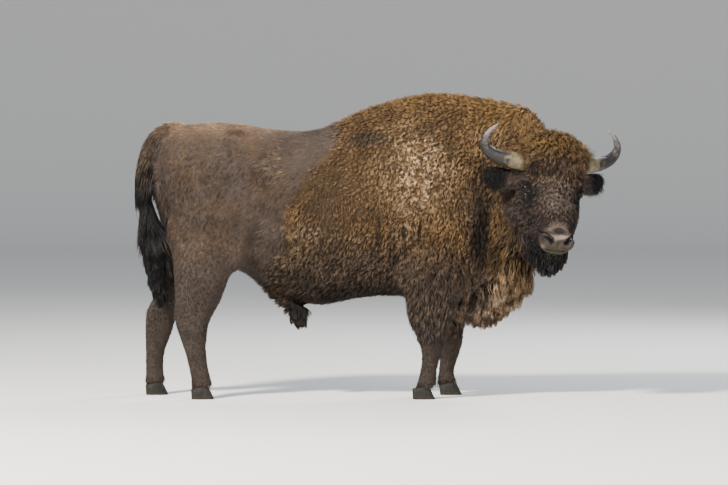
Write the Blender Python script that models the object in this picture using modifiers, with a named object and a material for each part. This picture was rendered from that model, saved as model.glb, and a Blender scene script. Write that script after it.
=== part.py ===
"""Life-size model of a standing wisent bull, its head turned to its right.

+X is forwards, +Y is the animal's left and +Z is up. The floor is z = 0, and the origin lies on it
under the middle of the animal. All sizes are in metres and run to the tips of the coat. The flesh is
fused from lofts and muscle masses, thinned out, and parted into named pieces by thin cuts.
"""

import math

import bmesh
import bpy
from mathutils import Matrix, Vector

# Driving dimensions
GAP = 0.0006
SLIVER = 0.0001
SHORTEST_EDGE = 0.003
CORNER_REACH = 3.2
HAIR_REACH = 2.4
RING_POINTS = 28
TRUNK_RINGS = 54
LIMB_RINGS = 30
HEAD_RINGS = 44
CLAW_POINTS = 12
CLAW_LEVELS = 3
BODY_VOXEL = 0.014
FACE_VOXEL = 0.008
BODY_EASING = 5
FACE_EASING = 3
SHARP_ANGLE = math.radians(50)
TRUNK_TRIANGLES = 1350
NECK_TRIANGLES = 480
UPPER_LEG_TRIANGLES = 270
LOWER_LEG_TRIANGLES = 150
FACE_TRIANGLES = 860
JAW_TRIANGLES = 180
NOSE_TRIANGLES = 260
BEARD_TRIANGLES = 220
MANE_TRIANGLES = 240
SIDES = {"right": -1, "left": 1}

# Shapes below are drawn with the spine on y = 0. The finished pieces move so that the origin is
# under the middle.
MIDDLE = Vector((-0.005, -0.128, 0))

# The neck leaves the trunk as an arc to the right, seen from above.
NECK_START = 0.58
NECK_RADIUS = 0.345
NECK_TURN = math.radians(70)

# The head's own frame: origin midway between the eyes, +X to the nose, +Y to its left, +Z out of
# the forehead.
# The poll's frame shares that origin and stays level: +X is where the animal looks, and +Z is up.
HEAD_ORIGIN = Vector((0.974, -0.385, 1.190))
HEAD_PITCH = math.radians(55)
HEAD_ROLL = math.radians(-3.3)
NOSE_SWING = math.radians(-3)

EYE_PLACE = (0.010, 0.167, 0.004)
EYE_RADIUS = 0.0215
LIDS = (0.030, 0.018, 0.014)
NOSTRIL_PLACE = (0.318, 0.074, -0.020)
NOSTRIL = (0.026, 0.016, 0.016)

# Where the pieces part. The nape is a plane across the poll's frame, and the nose starts at a place
# in the head's.
NAPE = -0.185
NOSE_START = 0.262
MOUTH = ((0.03, -0.178), (0.42, -0.045))
NECK_SIDE = ((0.50, 2.0), (0.66, 0.3))
TAIL_TUFT_TOP = 1.16
# A leg's cut: its back, its front, how high its roof is inside and outside, and the height of its
# carpus or hock.
LEG_CUTS = {"fore": (0.08, 0.52, 0.56, 0.86, 0.345), "hind": (-1.5, -0.80, 0.76, 1.12, 0.405)}
# No leg cut comes nearer the middle of the body than this strip.
LEG_STRIP = 0.04
LEG_REACH = 0.7
BEYOND = 2.0

CLAW_LENGTH = 0.128
CLAW_WIDTH = 0.052
CLAW_HEIGHT = 0.070
CORONET_SLOPE = 0.22
# Where each hoof's middle stands, seen from above.
HOOVES = {
    "fore_right": (0.250, -0.180),
    "fore_left": (0.412, 0.174),
    "hind_right": (-1.004, -0.180),
    "hind_left": (-1.284, 0.180),
}

COATS = {
    "cape": ((0.155, 0.098, 0.052), 0.85),
    "hind_coat": ((0.120, 0.085, 0.060), 0.85),
    "leg_coat": ((0.062, 0.046, 0.036), 0.85),
    "face_coat": ((0.075, 0.056, 0.045), 0.85),
    "mane": ((0.130, 0.085, 0.048), 0.9),
    "black_hair": ((0.020, 0.017, 0.017), 0.8),
    "nose_skin": ((0.110, 0.085, 0.075), 0.45),
    "horn": ((0.200, 0.180, 0.150), 0.45),
    "hoof": ((0.045, 0.040, 0.036), 0.5),
    "eye": ((0.012, 0.008, 0.006), 0.08),
}


def start_clean():
    for old in list(bpy.data.objects):
        bpy.data.objects.remove(old, do_unlink=True)


def collection(name):
    made = bpy.data.collections.new(name)
    bpy.context.scene.collection.children.link(made)
    return made


def coat_materials():
    made = {}
    for name, (colour, roughness) in COATS.items():
        material = bpy.data.materials.new(name)
        material.use_nodes = True
        shader = material.node_tree.nodes["Principled BSDF"]
        shader.inputs["Base Color"].default_value = (*colour, 1)
        shader.inputs["Roughness"].default_value = roughness
        shader.inputs["Metallic"].default_value = 0.0
        made[name] = material
    return made


def poll_frame():
    turned = Matrix.Rotation(-NECK_TURN, 4, "Z") @ Matrix.Rotation(HEAD_ROLL, 4, "X")
    return Matrix.Translation(HEAD_ORIGIN) @ turned


def head_frame():
    return poll_frame() @ Matrix.Rotation(HEAD_PITCH, 4, "Y") @ Matrix.Rotation(NOSE_SWING, 4, "Z")


# Shapes


def helper(name, bm, frame=None):
    """A guide object from a bmesh, left out of the model itself."""
    if frame is not None:
        bmesh.ops.transform(bm, matrix=frame, verts=bm.verts)
    mesh = bpy.data.meshes.new(name)
    bm.to_mesh(mesh)
    bm.free()
    made = bpy.data.objects.new("guide_" + name, mesh)
    GUIDES.objects.link(made)
    made.hide_render = True
    made.display_type = "WIRE"
    return made


def smooth_rows(rows, count):
    """Rows of numbers on a Catmull-Rom curve through the given ones, at even steps of the first."""
    first, last = rows[0][0], rows[-1][0]
    found = []
    for step in range(count):
        at = first + (last - first) * step / (count - 1)
        k = max(i for i in range(len(rows) - 1) if (rows[i][0] - at) * (last - first) <= 1e-9)
        near = [rows[max(0, min(len(rows) - 1, k + j))] for j in (-1, 0, 1, 2)]
        span = near[2][0] - near[1][0]
        t = (at - near[1][0]) / span
        row = [at]
        for a, b, c, d in zip(*(r[1:] for r in near), strict=True):
            before = near[1][0] - near[0][0]
            after = near[3][0] - near[2][0]
            slope_b = (c - a) / (span + before) * span
            slope_c = (d - b) / (span + after) * span
            row.append(
                (2 * t**3 - 3 * t**2 + 1) * b
                + (t**3 - 2 * t**2 + t) * slope_b
                + (3 * t**2 - 2 * t**3) * c
                + (t**3 - t**2) * slope_c
            )
        found.append(row)
    return found


def power(value, exponent):
    return math.copysign(abs(value) ** exponent, value)


def lofted(name, rings, frame=None):
    """A closed skin through rings of points that have the same count."""
    bm = bmesh.new()
    loops = [[bm.verts.new(p) for p in ring] for ring in rings]
    count = len(rings[0])
    for near, far in zip(loops, loops[1:], strict=False):
        for i in range(count):
            j = (i + 1) % count
            bm.faces.new((near[i], near[j], far[j], far[i]))
    bm.faces.new(reversed(loops[0]))
    bm.faces.new(loops[-1])
    bmesh.ops.recalc_face_normals(bm, faces=bm.faces)
    return helper(name, bm, frame)


def spine_point(travel):
    """Place and heading of the body's middle line, seen from above, at a distance along it."""
    turn = max(0.0, travel - NECK_START) / NECK_RADIUS
    x = min(travel, NECK_START) + NECK_RADIUS * math.sin(turn)
    y = NECK_RADIUS * (math.cos(turn) - 1)
    return x, y, Vector((math.sin(turn), math.cos(turn), 0))


def upright_rings(rows, count):
    """Rings across the spine. A row is travel, top, widest, bottom, half width and two roundnesses."""
    rings = []
    for travel, top, widest, bottom, half, over, under in smooth_rows(rows, count):
        x, y, side = spine_point(travel)
        ring = []
        for i in range(RING_POINTS):
            angle = 2 * math.pi * i / RING_POINTS
            upper = math.sin(angle) > 0
            shape = 2 / (over if upper else under)
            reach = (top - widest) if upper else (widest - bottom)
            centre = Vector((x, y, widest))
            ring.append(
                centre
                + side * half * power(math.cos(angle), shape)
                + Vector((0, 0, reach * power(math.sin(angle), shape)))
            )
        rings.append(ring)
    return rings


def head_rings(rows, count):
    """The same, in the head's own frame, along its X."""
    rings = []
    for x, top, widest, bottom, half, over, under in smooth_rows(rows, count):
        ring = []
        for i in range(RING_POINTS):
            angle = 2 * math.pi * i / RING_POINTS
            upper = math.sin(angle) > 0
            shape = 2 / (over if upper else under)
            reach = (top - widest) if upper else (widest - bottom)
            y = half * power(math.cos(angle), shape)
            ring.append(Vector((x, y, widest + reach * power(math.sin(angle), shape))))
        rings.append(ring)
    return rings


def limb_rings(rows, count):
    """Level rings down a limb. A row is height, x, y, half length and half width."""
    rings = []
    for z, x, y, half_x, half_y in smooth_rows(rows, count):
        turns = [2 * math.pi * i / RING_POINTS for i in range(RING_POINTS)]
        rings.append([Vector((x + half_x * math.cos(a), y + half_y * math.sin(a), z)) for a in turns])
    return rings


def tube_rings(rows, count, flat=1.0, sides=RING_POINTS):
    """Rings square to a path. A row is a running number, x, y, z and radius."""
    rows = smooth_rows(rows, count)
    points = [Vector(r[1:4]) for r in rows]
    rings = []
    side = Vector((0, 1, 0)) if points[0].y == points[-1].y else Vector((1, 0, 0))
    for i, row in enumerate(rows):
        along = (points[min(i + 1, count - 1)] - points[max(i - 1, 0)]).normalized()
        side = (side - along * side.dot(along)).normalized()
        across = side.cross(along)
        turns = [2 * math.pi * k / sides for k in range(sides)]
        reach = [math.cos(a) * side * flat + math.sin(a) * across for a in turns]
        rings.append([points[i] + row[4] * away for away in reach])
    return rings


def mass(name, centre, radii, tilt=0.0, frame=None, segments=24):
    """An egg-shaped muscle or pad, tilted about Y."""
    bm = bmesh.new()
    bmesh.ops.create_uvsphere(bm, u_segments=segments, v_segments=segments * 2 // 3, radius=1.0)
    shape = Matrix.Translation(centre) @ Matrix.Rotation(math.radians(tilt), 4, "Y")
    placed = shape @ Matrix.Diagonal((*radii, 1))
    return helper(name, bm, placed if frame is None else frame @ placed)


# From shapes to pieces


def evaluated(source, name):
    """A new guide with the mesh that source's modifiers make."""
    bpy.context.view_layer.update()
    graph = bpy.context.evaluated_depsgraph_get()
    mesh = bpy.data.meshes.new_from_object(source.evaluated_get(graph))
    bm = bmesh.new()
    bm.from_mesh(mesh)
    return helper(name, bm)


def fused(name, shapes, voxel, smoothing):
    """Overlapping shapes as one even skin with soft junctions."""
    bm = bmesh.new()
    for shape in shapes:
        bm.from_mesh(shape.data)
    whole = helper(name, bm)
    remesh = whole.modifiers.new("Even", "REMESH")
    remesh.mode = "VOXEL"
    remesh.voxel_size = voxel
    soften = whole.modifiers.new("Soften", "SMOOTH")
    soften.factor = 0.5
    soften.iterations = smoothing
    return evaluated(whole, name + "_even")


def sealed(source, merge):
    """Source without the stray flaps and pinholes that thinning and cutting leave."""
    bm = bmesh.new()
    bm.from_mesh(source.data)
    bmesh.ops.triangulate(bm, faces=bm.faces)
    bmesh.ops.remove_doubles(bm, verts=bm.verts, dist=merge)
    bmesh.ops.dissolve_degenerate(bm, edges=bm.edges, dist=SLIVER)
    seen = {}
    flaps = []
    for face in bm.faces:
        twin = seen.setdefault(frozenset(face.verts), face)
        if twin is not face:
            flaps += [face, twin]
        loose = any(e.is_boundary for e in face.edges)
        crowded = any(len(e.link_faces) > 2 for e in face.edges)
        if loose and crowded:
            flaps.append(face)
    bmesh.ops.delete(bm, geom=list(dict.fromkeys(flaps)), context="FACES")
    bmesh.ops.holes_fill(bm, edges=[e for e in bm.edges if e.is_boundary], sides=0)
    bmesh.ops.triangulate(bm, faces=bm.faces)
    bmesh.ops.recalc_face_normals(bm, faces=bm.faces)
    return helper(source.name, bm)


def thinned(source, triangles):
    """Source with about that many triangles."""
    thin = source.modifiers.new("Thin", "DECIMATE")
    thin.ratio = triangles / sum(len(p.vertices) - 2 for p in source.data.polygons)
    made = evaluated(source, source.name)
    source.modifiers.remove(thin)
    return sealed(made, SHORTEST_EDGE)


def boolean(source, cutter, operation):
    step = source.modifiers.new("Cut", "BOOLEAN")
    step.operation = operation
    step.object = cutter
    made = evaluated(source, source.name)
    source.modifiers.remove(step)
    return made


def grown(source, by):
    """A copy of a guide, larger all round by a small distance."""
    swell = source.modifiers.new("Swell", "DISPLACE")
    swell.mid_level = 0
    swell.strength = by
    made = evaluated(source, source.name + "_grown")
    source.modifiers.remove(swell)
    return made


def largest(source):
    """The biggest body of a cut shape, without loose chips."""
    bm = bmesh.new()
    bm.from_mesh(source.data)
    left = set(bm.verts)
    bodies = []
    while left:
        body = set()
        front = [left.pop()]
        while front:
            vert = front.pop()
            body.add(vert)
            near = [e.other_vert(vert) for e in vert.link_edges]
            new = [v for v in near if v in left]
            left.difference_update(new)
            front += new
        bodies.append(body)
    biggest = max(bodies, key=len)
    chips = [v for v in bm.verts if v not in biggest]
    bmesh.ops.delete(bm, geom=chips, context="VERTS")
    return helper(source.name, bm)


def without(source, *others):
    """Source with other solids cut out of it, each with a gap."""
    for other in others:
        source = boolean(source, grown(other, HAIR_REACH * GAP), "DIFFERENCE")
    return sealed(largest(source), SLIVER)


def hull(corners, frame=None):
    """A cutter: the convex solid round its corners."""
    bm = bmesh.new()
    for corner in corners:
        bm.verts.new(corner)
    bmesh.ops.convex_hull(bm, input=bm.verts)
    bmesh.ops.recalc_face_normals(bm, faces=bm.faces)
    return helper("hull", bm, frame)


def block(low, high, frame=None):
    """A box-shaped cutter between two opposite corners."""
    ends = list(zip(low, high, strict=True))
    return hull([(x, y, z) for x in ends[0] for y in ends[1] for z in ends[2]], frame)


def parted(source, cutter):
    """The piece of source inside a cutter, and the rest of it, a thin gap apart."""
    inside = boolean(source, cutter, "INTERSECT")
    rest = boolean(source, grown(cutter, CORNER_REACH * GAP), "DIFFERENCE")
    return largest(inside), largest(rest)


def keep(name, source, coat):
    """A guide's mesh as a named piece of the model."""
    made = bpy.data.objects.new(name, source.data.copy())
    made.data.name = name
    made.data.materials.clear()
    made.data.materials.append(MATERIALS[coat])
    made.data.shade_smooth()
    made.data.set_sharp_from_angle(angle=SHARP_ANGLE)
    made.location = -MIDDLE
    MODEL.objects.link(made)


# The body's shapes


def trunk_and_neck():
    rows = [
        (-1.285, 1.345, 1.24, 1.13, 0.07, 2.2, 2.2),
        (-1.25, 1.45, 1.24, 1.02, 0.155, 2.2, 2.2),
        (-1.16, 1.535, 1.23, 0.90, 0.222, 2.2, 2.2),
        (-1.00, 1.575, 1.22, 0.80, 0.266, 2.2, 2.2),
        (-0.80, 1.572, 1.18, 0.72, 0.284, 2.1, 2.2),
        (-0.60, 1.540, 1.10, 0.62, 0.312, 2.1, 2.2),
        (-0.36, 1.537, 1.05, 0.525, 0.336, 2.0, 2.2),
        (-0.10, 1.650, 1.05, 0.565, 0.336, 1.8, 2.2),
        (0.10, 1.718, 1.06, 0.58, 0.324, 1.65, 2.2),
        (0.32, 1.754, 1.08, 0.57, 0.308, 1.6, 2.1),
        (0.50, 1.744, 1.10, 0.57, 0.290, 1.6, 2.0),
        (0.62, 1.730, 1.12, 0.60, 0.270, 1.6, 2.0),
        (0.76, 1.702, 1.14, 0.68, 0.242, 1.65, 2.0),
        (0.90, 1.655, 1.16, 0.78, 0.222, 1.7, 2.0),
        (1.00, 1.540, 1.16, 0.88, 0.190, 1.8, 2.0),
        (1.07, 1.420, 1.15, 0.96, 0.130, 1.9, 2.0),
        (1.11, 1.320, 1.14, 1.02, 0.070, 2.0, 2.0),
    ]
    return lofted("trunk_loft", upright_rings(rows, TRUNK_RINGS))


def body_masses():
    """Muscle and bone that show through the coat, the same on both sides."""
    made = []
    for side in SIDES.values():
        made += [
            mass("shoulder", (0.34, side * 0.180, 1.06), (0.19, 0.138, 0.33), -8),
            mass("upper_arm", (0.27, side * 0.202, 0.78), (0.17, 0.118, 0.20), 20),
            mass("rump", (-1.03, side * 0.138, 1.24), (0.22, 0.145, 0.26), -12),
            mass("stifle", (-0.80, side * 0.208, 0.86), (0.10, 0.086, 0.16), 25),
        ]
    return made


def forelegs():
    """Each foreleg from the elbow to the hoof, the coat's fringe behind the forearm included."""
    right = [
        (1.08, 0.300, -0.165, 0.140, 0.090),
        (0.98, 0.298, -0.182, 0.170, 0.110),
        (0.86, 0.300, -0.194, 0.185, 0.118),
        (0.73, 0.322, -0.198, 0.180, 0.120),
        (0.65, 0.313, -0.196, 0.172, 0.113),
        (0.56, 0.304, -0.192, 0.150, 0.100),
        (0.45, 0.292, -0.190, 0.126, 0.086),
        (0.39, 0.300, -0.188, 0.104, 0.076),
        (0.34, 0.304, -0.186, 0.088, 0.069),
        (0.28, 0.307, -0.184, 0.070, 0.060),
        (0.22, 0.298, -0.182, 0.058, 0.046),
        (0.15, 0.284, -0.181, 0.056, 0.044),
        (0.10, 0.277, -0.180, 0.061, 0.052),
        (0.045, 0.270, -0.180, 0.060, 0.055),
    ]
    left = [
        (1.08, 0.310, 0.165, 0.140, 0.090),
        (0.98, 0.320, 0.182, 0.168, 0.110),
        (0.86, 0.340, 0.194, 0.180, 0.118),
        (0.73, 0.380, 0.197, 0.165, 0.119),
        (0.65, 0.395, 0.194, 0.150, 0.110),
        (0.56, 0.402, 0.190, 0.132, 0.097),
        (0.45, 0.404, 0.186, 0.112, 0.084),
        (0.37, 0.410, 0.180, 0.092, 0.074),
        (0.29, 0.418, 0.177, 0.076, 0.062),
        (0.20, 0.407, 0.175, 0.059, 0.046),
        (0.13, 0.394, 0.174, 0.052, 0.044),
        (0.09, 0.398, 0.174, 0.058, 0.051),
        (0.045, 0.404, 0.174, 0.058, 0.054),
    ]
    return [
        lofted("foreleg_right", limb_rings(right, LIMB_RINGS)),
        lofted("foreleg_left", limb_rings(left, LIMB_RINGS)),
    ]


def hind_legs():
    """Each hind leg from the thigh to the hoof; the right one stands a stride ahead of the left."""
    right = [
        (1.34, -0.985, -0.110, 0.120, 0.070),
        (1.22, -0.970, -0.138, 0.190, 0.110),
        (1.08, -0.960, -0.162, 0.230, 0.134),
        (0.96, -0.965, -0.180, 0.236, 0.134),
        (0.85, -0.965, -0.190, 0.210, 0.122),
        (0.77, -0.982, -0.194, 0.184, 0.108),
        (0.67, -1.002, -0.194, 0.162, 0.093),
        (0.56, -1.020, -0.195, 0.140, 0.080),
        (0.48, -1.046, -0.190, 0.122, 0.068),
        (0.42, -1.055, -0.188, 0.102, 0.062),
        (0.36, -1.048, -0.186, 0.088, 0.056),
        (0.28, -1.038, -0.184, 0.070, 0.047),
        (0.19, -1.020, -0.182, 0.063, 0.043),
        (0.11, -1.003, -0.180, 0.064, 0.050),
        (0.045, -0.992, -0.180, 0.062, 0.055),
    ]
    left = [
        (1.34, -0.985, 0.110, 0.120, 0.070),
        (1.22, -0.975, 0.138, 0.185, 0.110),
        (1.08, -0.980, 0.162, 0.220, 0.134),
        (0.96, -0.995, 0.180, 0.225, 0.134),
        (0.85, -1.020, 0.190, 0.200, 0.121),
        (0.77, -1.060, 0.194, 0.172, 0.106),
        (0.67, -1.115, 0.194, 0.146, 0.092),
        (0.58, -1.175, 0.195, 0.118, 0.078),
        (0.50, -1.236, 0.190, 0.106, 0.067),
        (0.43, -1.257, 0.188, 0.097, 0.062),
        (0.37, -1.263, 0.186, 0.087, 0.056),
        (0.31, -1.275, 0.184, 0.074, 0.049),
        (0.24, -1.286, 0.182, 0.062, 0.043),
        (0.14, -1.288, 0.180, 0.058, 0.045),
        (0.09, -1.284, 0.180, 0.062, 0.051),
        (0.045, -1.278, 0.180, 0.060, 0.055),
    ]
    return [
        lofted("hind_leg_right", limb_rings(right, LIMB_RINGS)),
        lofted("hind_leg_left", limb_rings(left, LIMB_RINGS)),
    ]


def belly_fold():
    """The bull's sheath: a fold of skin along the middle of the belly."""
    rows = [
        (-0.86, 0.86, 0.82, 0.770, 0.040, 2.0, 2.0),
        (-0.76, 0.80, 0.76, 0.700, 0.046, 2.0, 2.0),
        (-0.66, 0.74, 0.68, 0.612, 0.050, 2.0, 2.0),
        (-0.54, 0.66, 0.58, 0.505, 0.046, 2.0, 2.0),
        (-0.48, 0.62, 0.54, 0.475, 0.040, 2.0, 2.0),
        (-0.42, 0.60, 0.54, 0.490, 0.030, 2.0, 2.0),
    ]
    return lofted("sheath_loft", upright_rings(rows, 16))


def sheath_tuft():
    rows = [
        (0.0, -0.500, 0, 0.560, 0.032),
        (1.0, -0.480, 0, 0.500, 0.046),
        (2.0, -0.452, 0, 0.450, 0.054),
        (3.0, -0.432, 0, 0.420, 0.040),
        (3.3, -0.427, 0, 0.410, 0.020),
    ]
    return lofted("sheath_tuft", tube_rings(rows, 7, sides=10))


def head_shapes(head, poll):
    rows = [
        (-0.30, 0.060, -0.06, -0.13, 0.110, 2.0, 2.0),
        (-0.25, 0.130, -0.07, -0.18, 0.165, 2.0, 2.0),
        (-0.18, 0.145, -0.08, -0.22, 0.190, 2.1, 2.0),
        (-0.10, 0.135, -0.09, -0.25, 0.196, 2.2, 2.0),
        (-0.03, 0.115, -0.10, -0.270, 0.197, 2.2, 2.0),
        (0.04, 0.092, -0.11, -0.280, 0.195, 2.2, 2.0),
        (0.12, 0.064, -0.115, -0.275, 0.180, 2.2, 2.0),
        (0.20, 0.036, -0.11, -0.250, 0.148, 2.2, 2.0),
        (0.27, 0.022, -0.09, -0.215, 0.114, 2.2, 2.1),
        (0.315, 0.012, -0.075, -0.182, 0.101, 2.3, 2.3),
        (0.342, -0.002, -0.068, -0.156, 0.094, 2.3, 2.3),
        (0.364, -0.026, -0.068, -0.132, 0.084, 2.3, 2.3),
        (0.381, -0.050, -0.077, -0.114, 0.068, 2.2, 2.2),
        (0.392, -0.074, -0.087, -0.102, 0.044, 2.2, 2.2),
    ]
    made = [
        lofted("head_loft", head_rings(rows, HEAD_RINGS), head),
        mass("crown", (-0.030, 0, 0.180), (0.135, 0.232, 0.165), 0, poll),
        mass("chin", (0.322, 0, -0.146), (0.048, 0.066, 0.034), 0, head),
    ]
    for side in SIDES.values():
        made += [
            mass("brow", (-0.040, side * 0.138, 0.036), (0.070, 0.054, 0.044), 12, head),
            mass("orbit", (-0.002, side * 0.152, -0.004), (0.056, 0.044, 0.048), 0, head),
            mass("cheek", (0.030, side * 0.112, -0.165), (0.130, 0.092, 0.105), 0, head),
            mass("nostril_wing", (0.330, side * 0.064, -0.042), (0.044, 0.043, 0.042), 25, head),
        ]
    return made


def eye(side, head):
    bm = bmesh.new()
    bmesh.ops.create_uvsphere(bm, u_segments=12, v_segments=8, radius=EYE_RADIUS)
    x, y, z = EYE_PLACE
    return helper("eye", bm, head @ Matrix.Translation((x, side * y, z)))


def horn(side, poll):
    """The horn sweeps out and back, then up, and its tip turns in."""
    path = [
        (0.0, -0.030, 0.135, 0.138, 0.046),
        (1.0, -0.002, 0.205, 0.150, 0.052),
        (2.0, -0.032, 0.308, 0.163, 0.041),
        (3.0, -0.053, 0.382, 0.200, 0.0335),
        (4.0, -0.044, 0.406, 0.252, 0.0245),
        (5.0, -0.030, 0.386, 0.302, 0.0175),
        (6.0, -0.024, 0.358, 0.332, 0.0105),
        (7.0, -0.024, 0.328, 0.354, 0.003),
    ]
    rows = [(n, x, side * y, z, radius) for n, x, y, z, radius in path]
    return lofted("horn", tube_rings(rows, 15, sides=12), poll)


def ear(side, poll):
    """The ear is a flat cup with a hairy rim, held out below the horn."""
    path = [
        (0.0, -0.030, 0.150, 0.040, 0.034),
        (1.0, -0.050, 0.205, 0.046, 0.054),
        (2.0, -0.085, 0.265, 0.054, 0.067),
        (3.0, -0.115, 0.318, 0.072, 0.055),
        (4.0, -0.135, 0.358, 0.090, 0.030),
        (4.4, -0.140, 0.370, 0.096, 0.012),
    ]
    rows = [(n, x, side * y, z, radius) for n, x, y, z, radius in path]
    return lofted("ear", tube_rings(rows, 9, flat=0.45, sides=10), poll)


def beard(poll):
    """The hair of the chin and of the lower jaw, which hangs straight down."""
    rows = [
        (-0.20, -0.18, -0.22, -0.30, 0.100, 2.0, 2.0),
        (-0.14, -0.14, -0.24, -0.395, 0.158, 2.0, 2.0),
        (-0.06, -0.18, -0.29, -0.448, 0.148, 2.0, 1.8),
        (0.02, -0.26, -0.34, -0.478, 0.112, 2.0, 1.7),
        (0.08, -0.33, -0.37, -0.448, 0.076, 2.0, 1.8),
        (0.11, -0.36, -0.39, -0.420, 0.046, 2.0, 2.0),
    ]
    return lofted("beard", head_rings(rows, 18), poll)


def throat_mane():
    """The fringe under the neck and brisket."""
    rows = [
        (0.40, 0.80, 0.62, 0.490, 0.070, 2.0, 2.0),
        (0.50, 0.82, 0.60, 0.430, 0.095, 2.0, 2.0),
        (0.60, 0.86, 0.61, 0.400, 0.112, 2.0, 2.0),
        (0.68, 0.90, 0.66, 0.430, 0.115, 2.0, 2.0),
        (0.76, 0.94, 0.72, 0.495, 0.112, 2.0, 2.0),
        (0.83, 0.98, 0.76, 0.560, 0.106, 2.0, 2.0),
        (0.88, 0.96, 0.78, 0.620, 0.078, 2.0, 2.0),
    ]
    return lofted("throat_mane", upright_rings(rows, 18))


def tail():
    dock = [
        (0.0, -1.080, 0.0, 1.530, 0.030),
        (1.0, -1.150, 0.0, 1.545, 0.038),
        (2.0, -1.235, 0.0, 1.515, 0.043),
        (3.0, -1.298, 0.0, 1.450, 0.043),
        (4.0, -1.330, 0.0, 1.360, 0.043),
        (5.0, -1.342, 0.0, 1.260, 0.045),
        (6.0, -1.337, 0.0, 1.165, 0.052),
        (7.0, -1.308, 0.0, 1.045, 0.072),
        (8.0, -1.280, 0.0, 0.925, 0.088),
        (9.0, -1.260, 0.0, 0.785, 0.084),
        (10.0, -1.250, 0.0, 0.650, 0.062),
        (11.0, -1.243, 0.0, 0.545, 0.030),
        (11.4, -1.240, 0.0, 0.515, 0.012),
    ]
    return lofted("tail", tube_rings(dock, 24, flat=0.78, sides=12))


def coronet(x, middle):
    """How high the hair meets the hoof, at a place along it."""
    return CLAW_HEIGHT + CORONET_SLOPE * (x - middle)


def claw(place, out):
    """One half of a cloven hoof on the floor: blunt behind, pointed in front, its wall leaning back."""
    rings = []
    for level in range(CLAW_LEVELS):
        up = level / (CLAW_LEVELS - 1)
        ring = []
        for i in range(CLAW_POINTS):
            angle = 2 * math.pi * i / CLAW_POINTS
            front = math.cos(angle) > 0
            along = (0.58 if front else 0.42) * CLAW_LENGTH * math.cos(angle) * (1 - 0.28 * up)
            across = CLAW_WIDTH / 2 * power(math.sin(angle), 1.0 if front else 0.7) * (1 - 0.08 * up)
            x = place[0] + along - 0.018 * up
            y = place[1] + out * (CLAW_WIDTH / 2 + 0.002) + across
            ring.append(Vector((x, y, up * (coronet(x, place[0]) - GAP))))
        rings.append(ring)
    return lofted("claw", rings)


# Cuts


def leg_space(side, back, front, top_in, top_out):
    """The space of one leg: outside the middle strip, below a roof that rises outwards."""
    inner, outer = side * LEG_STRIP, side * 0.6
    corners = [(x, y, -0.1) for x in (back, front + 0.2) for y in (inner, outer)]
    corners += [(back, inner, top_in), (back, outer, top_out)]
    corners += [(front, inner, top_in), (front + 0.15, outer, top_out)]
    return hull(corners)


def above_hoof(place):
    """All of a leg above its coronet."""
    x, y = place
    steps = (-LEG_REACH, LEG_REACH)
    low = [(x + dx, y + dy, coronet(x + dx, x)) for dx in steps for dy in steps]
    return hull(low + [(cx, cy, BEYOND) for cx, cy, _ in low])


def leg_pieces(leg, body, side_name, side):
    """Cut one leg from the body and part it at its joint. Returns its upper piece and the body's rest."""
    back, front, top_in, top_out, joint = LEG_CUTS[leg]
    place = HOOVES[leg + "_" + side_name]
    whole, rest = parted(body, leg_space(side, back, front, top_in, top_out))
    whole = largest(boolean(whole, above_hoof(place), "INTERSECT"))
    lower, upper = parted(whole, block((-BEYOND, -1, -0.1), (BEYOND, 1, joint)))
    upper = thinned(upper, UPPER_LEG_TRIANGLES)
    keep(f"{leg}leg_upper_{side_name}", upper, "leg_coat")
    keep(f"{leg}leg_lower_{side_name}", thinned(lower, LOWER_LEG_TRIANGLES), "leg_coat")
    for half, out in (("inner", -side), ("outer", side)):
        keep(f"hoof_{leg}_{side_name}_{half}", claw(place, out), "hoof")
    return upper, rest


def body_pieces(body):
    """Part the body behind the nape. Returns the pieces that hair and tail grow from."""
    ahead = [(BEYOND, z) for _, z in NECK_SIDE]
    neck, body = parted(body, hull([(x, y, z) for x, z in [*NECK_SIDE, *ahead] for y in (-1, 1)]))
    pieces = [thinned(neck, NECK_TRIANGLES)]
    for leg in ("fore", "hind"):
        for side_name, side in SIDES.items():
            upper, body = leg_pieces(leg, body, side_name, side)
            pieces.append(upper)
    trunk = thinned(body, TRUNK_TRIANGLES)
    keep("neck", pieces[0], "cape")
    keep("trunk", trunk, "cape")
    return [trunk, *pieces]


def face_pieces(face, head, horns, ears, eyes):
    """Part the head, sink the horns, ears and eyes in it, and open the lids and nostrils."""
    below = [(x, -0.5) for x, _ in MOUTH]
    jaw, face = parted(face, hull([(x, y, z) for x, z in [*MOUTH, *below] for y in (-0.3, 0.3)], head))
    nose, face = parted(face, block((NOSE_START, -0.3, -0.4), (0.6, 0.3, 0.3), head))
    jaw = thinned(jaw, JAW_TRIANGLES)
    nose = thinned(nose, NOSE_TRIANGLES)
    face = thinned(face, FACE_TRIANGLES)
    for name, side in SIDES.items():
        x, y, z = EYE_PLACE
        opening = (x + 0.006, side * (y + 0.021), z + 0.008)
        face = boolean(face, mass("lids", opening, LIDS, 0, head, 12), "DIFFERENCE")
        face = without(face, horns[name], ears[name], eyes[name])
        along, across, up = NOSTRIL_PLACE
        pit = mass("nostril", (along, side * across, up), NOSTRIL, 0, head, 9)
        nose = boolean(nose, pit, "DIFFERENCE")
    keep("head", face, "face_coat")
    keep("lower_jaw", jaw, "face_coat")
    keep("nose", nose, "nose_skin")
    return [face, jaw, nose]


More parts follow.
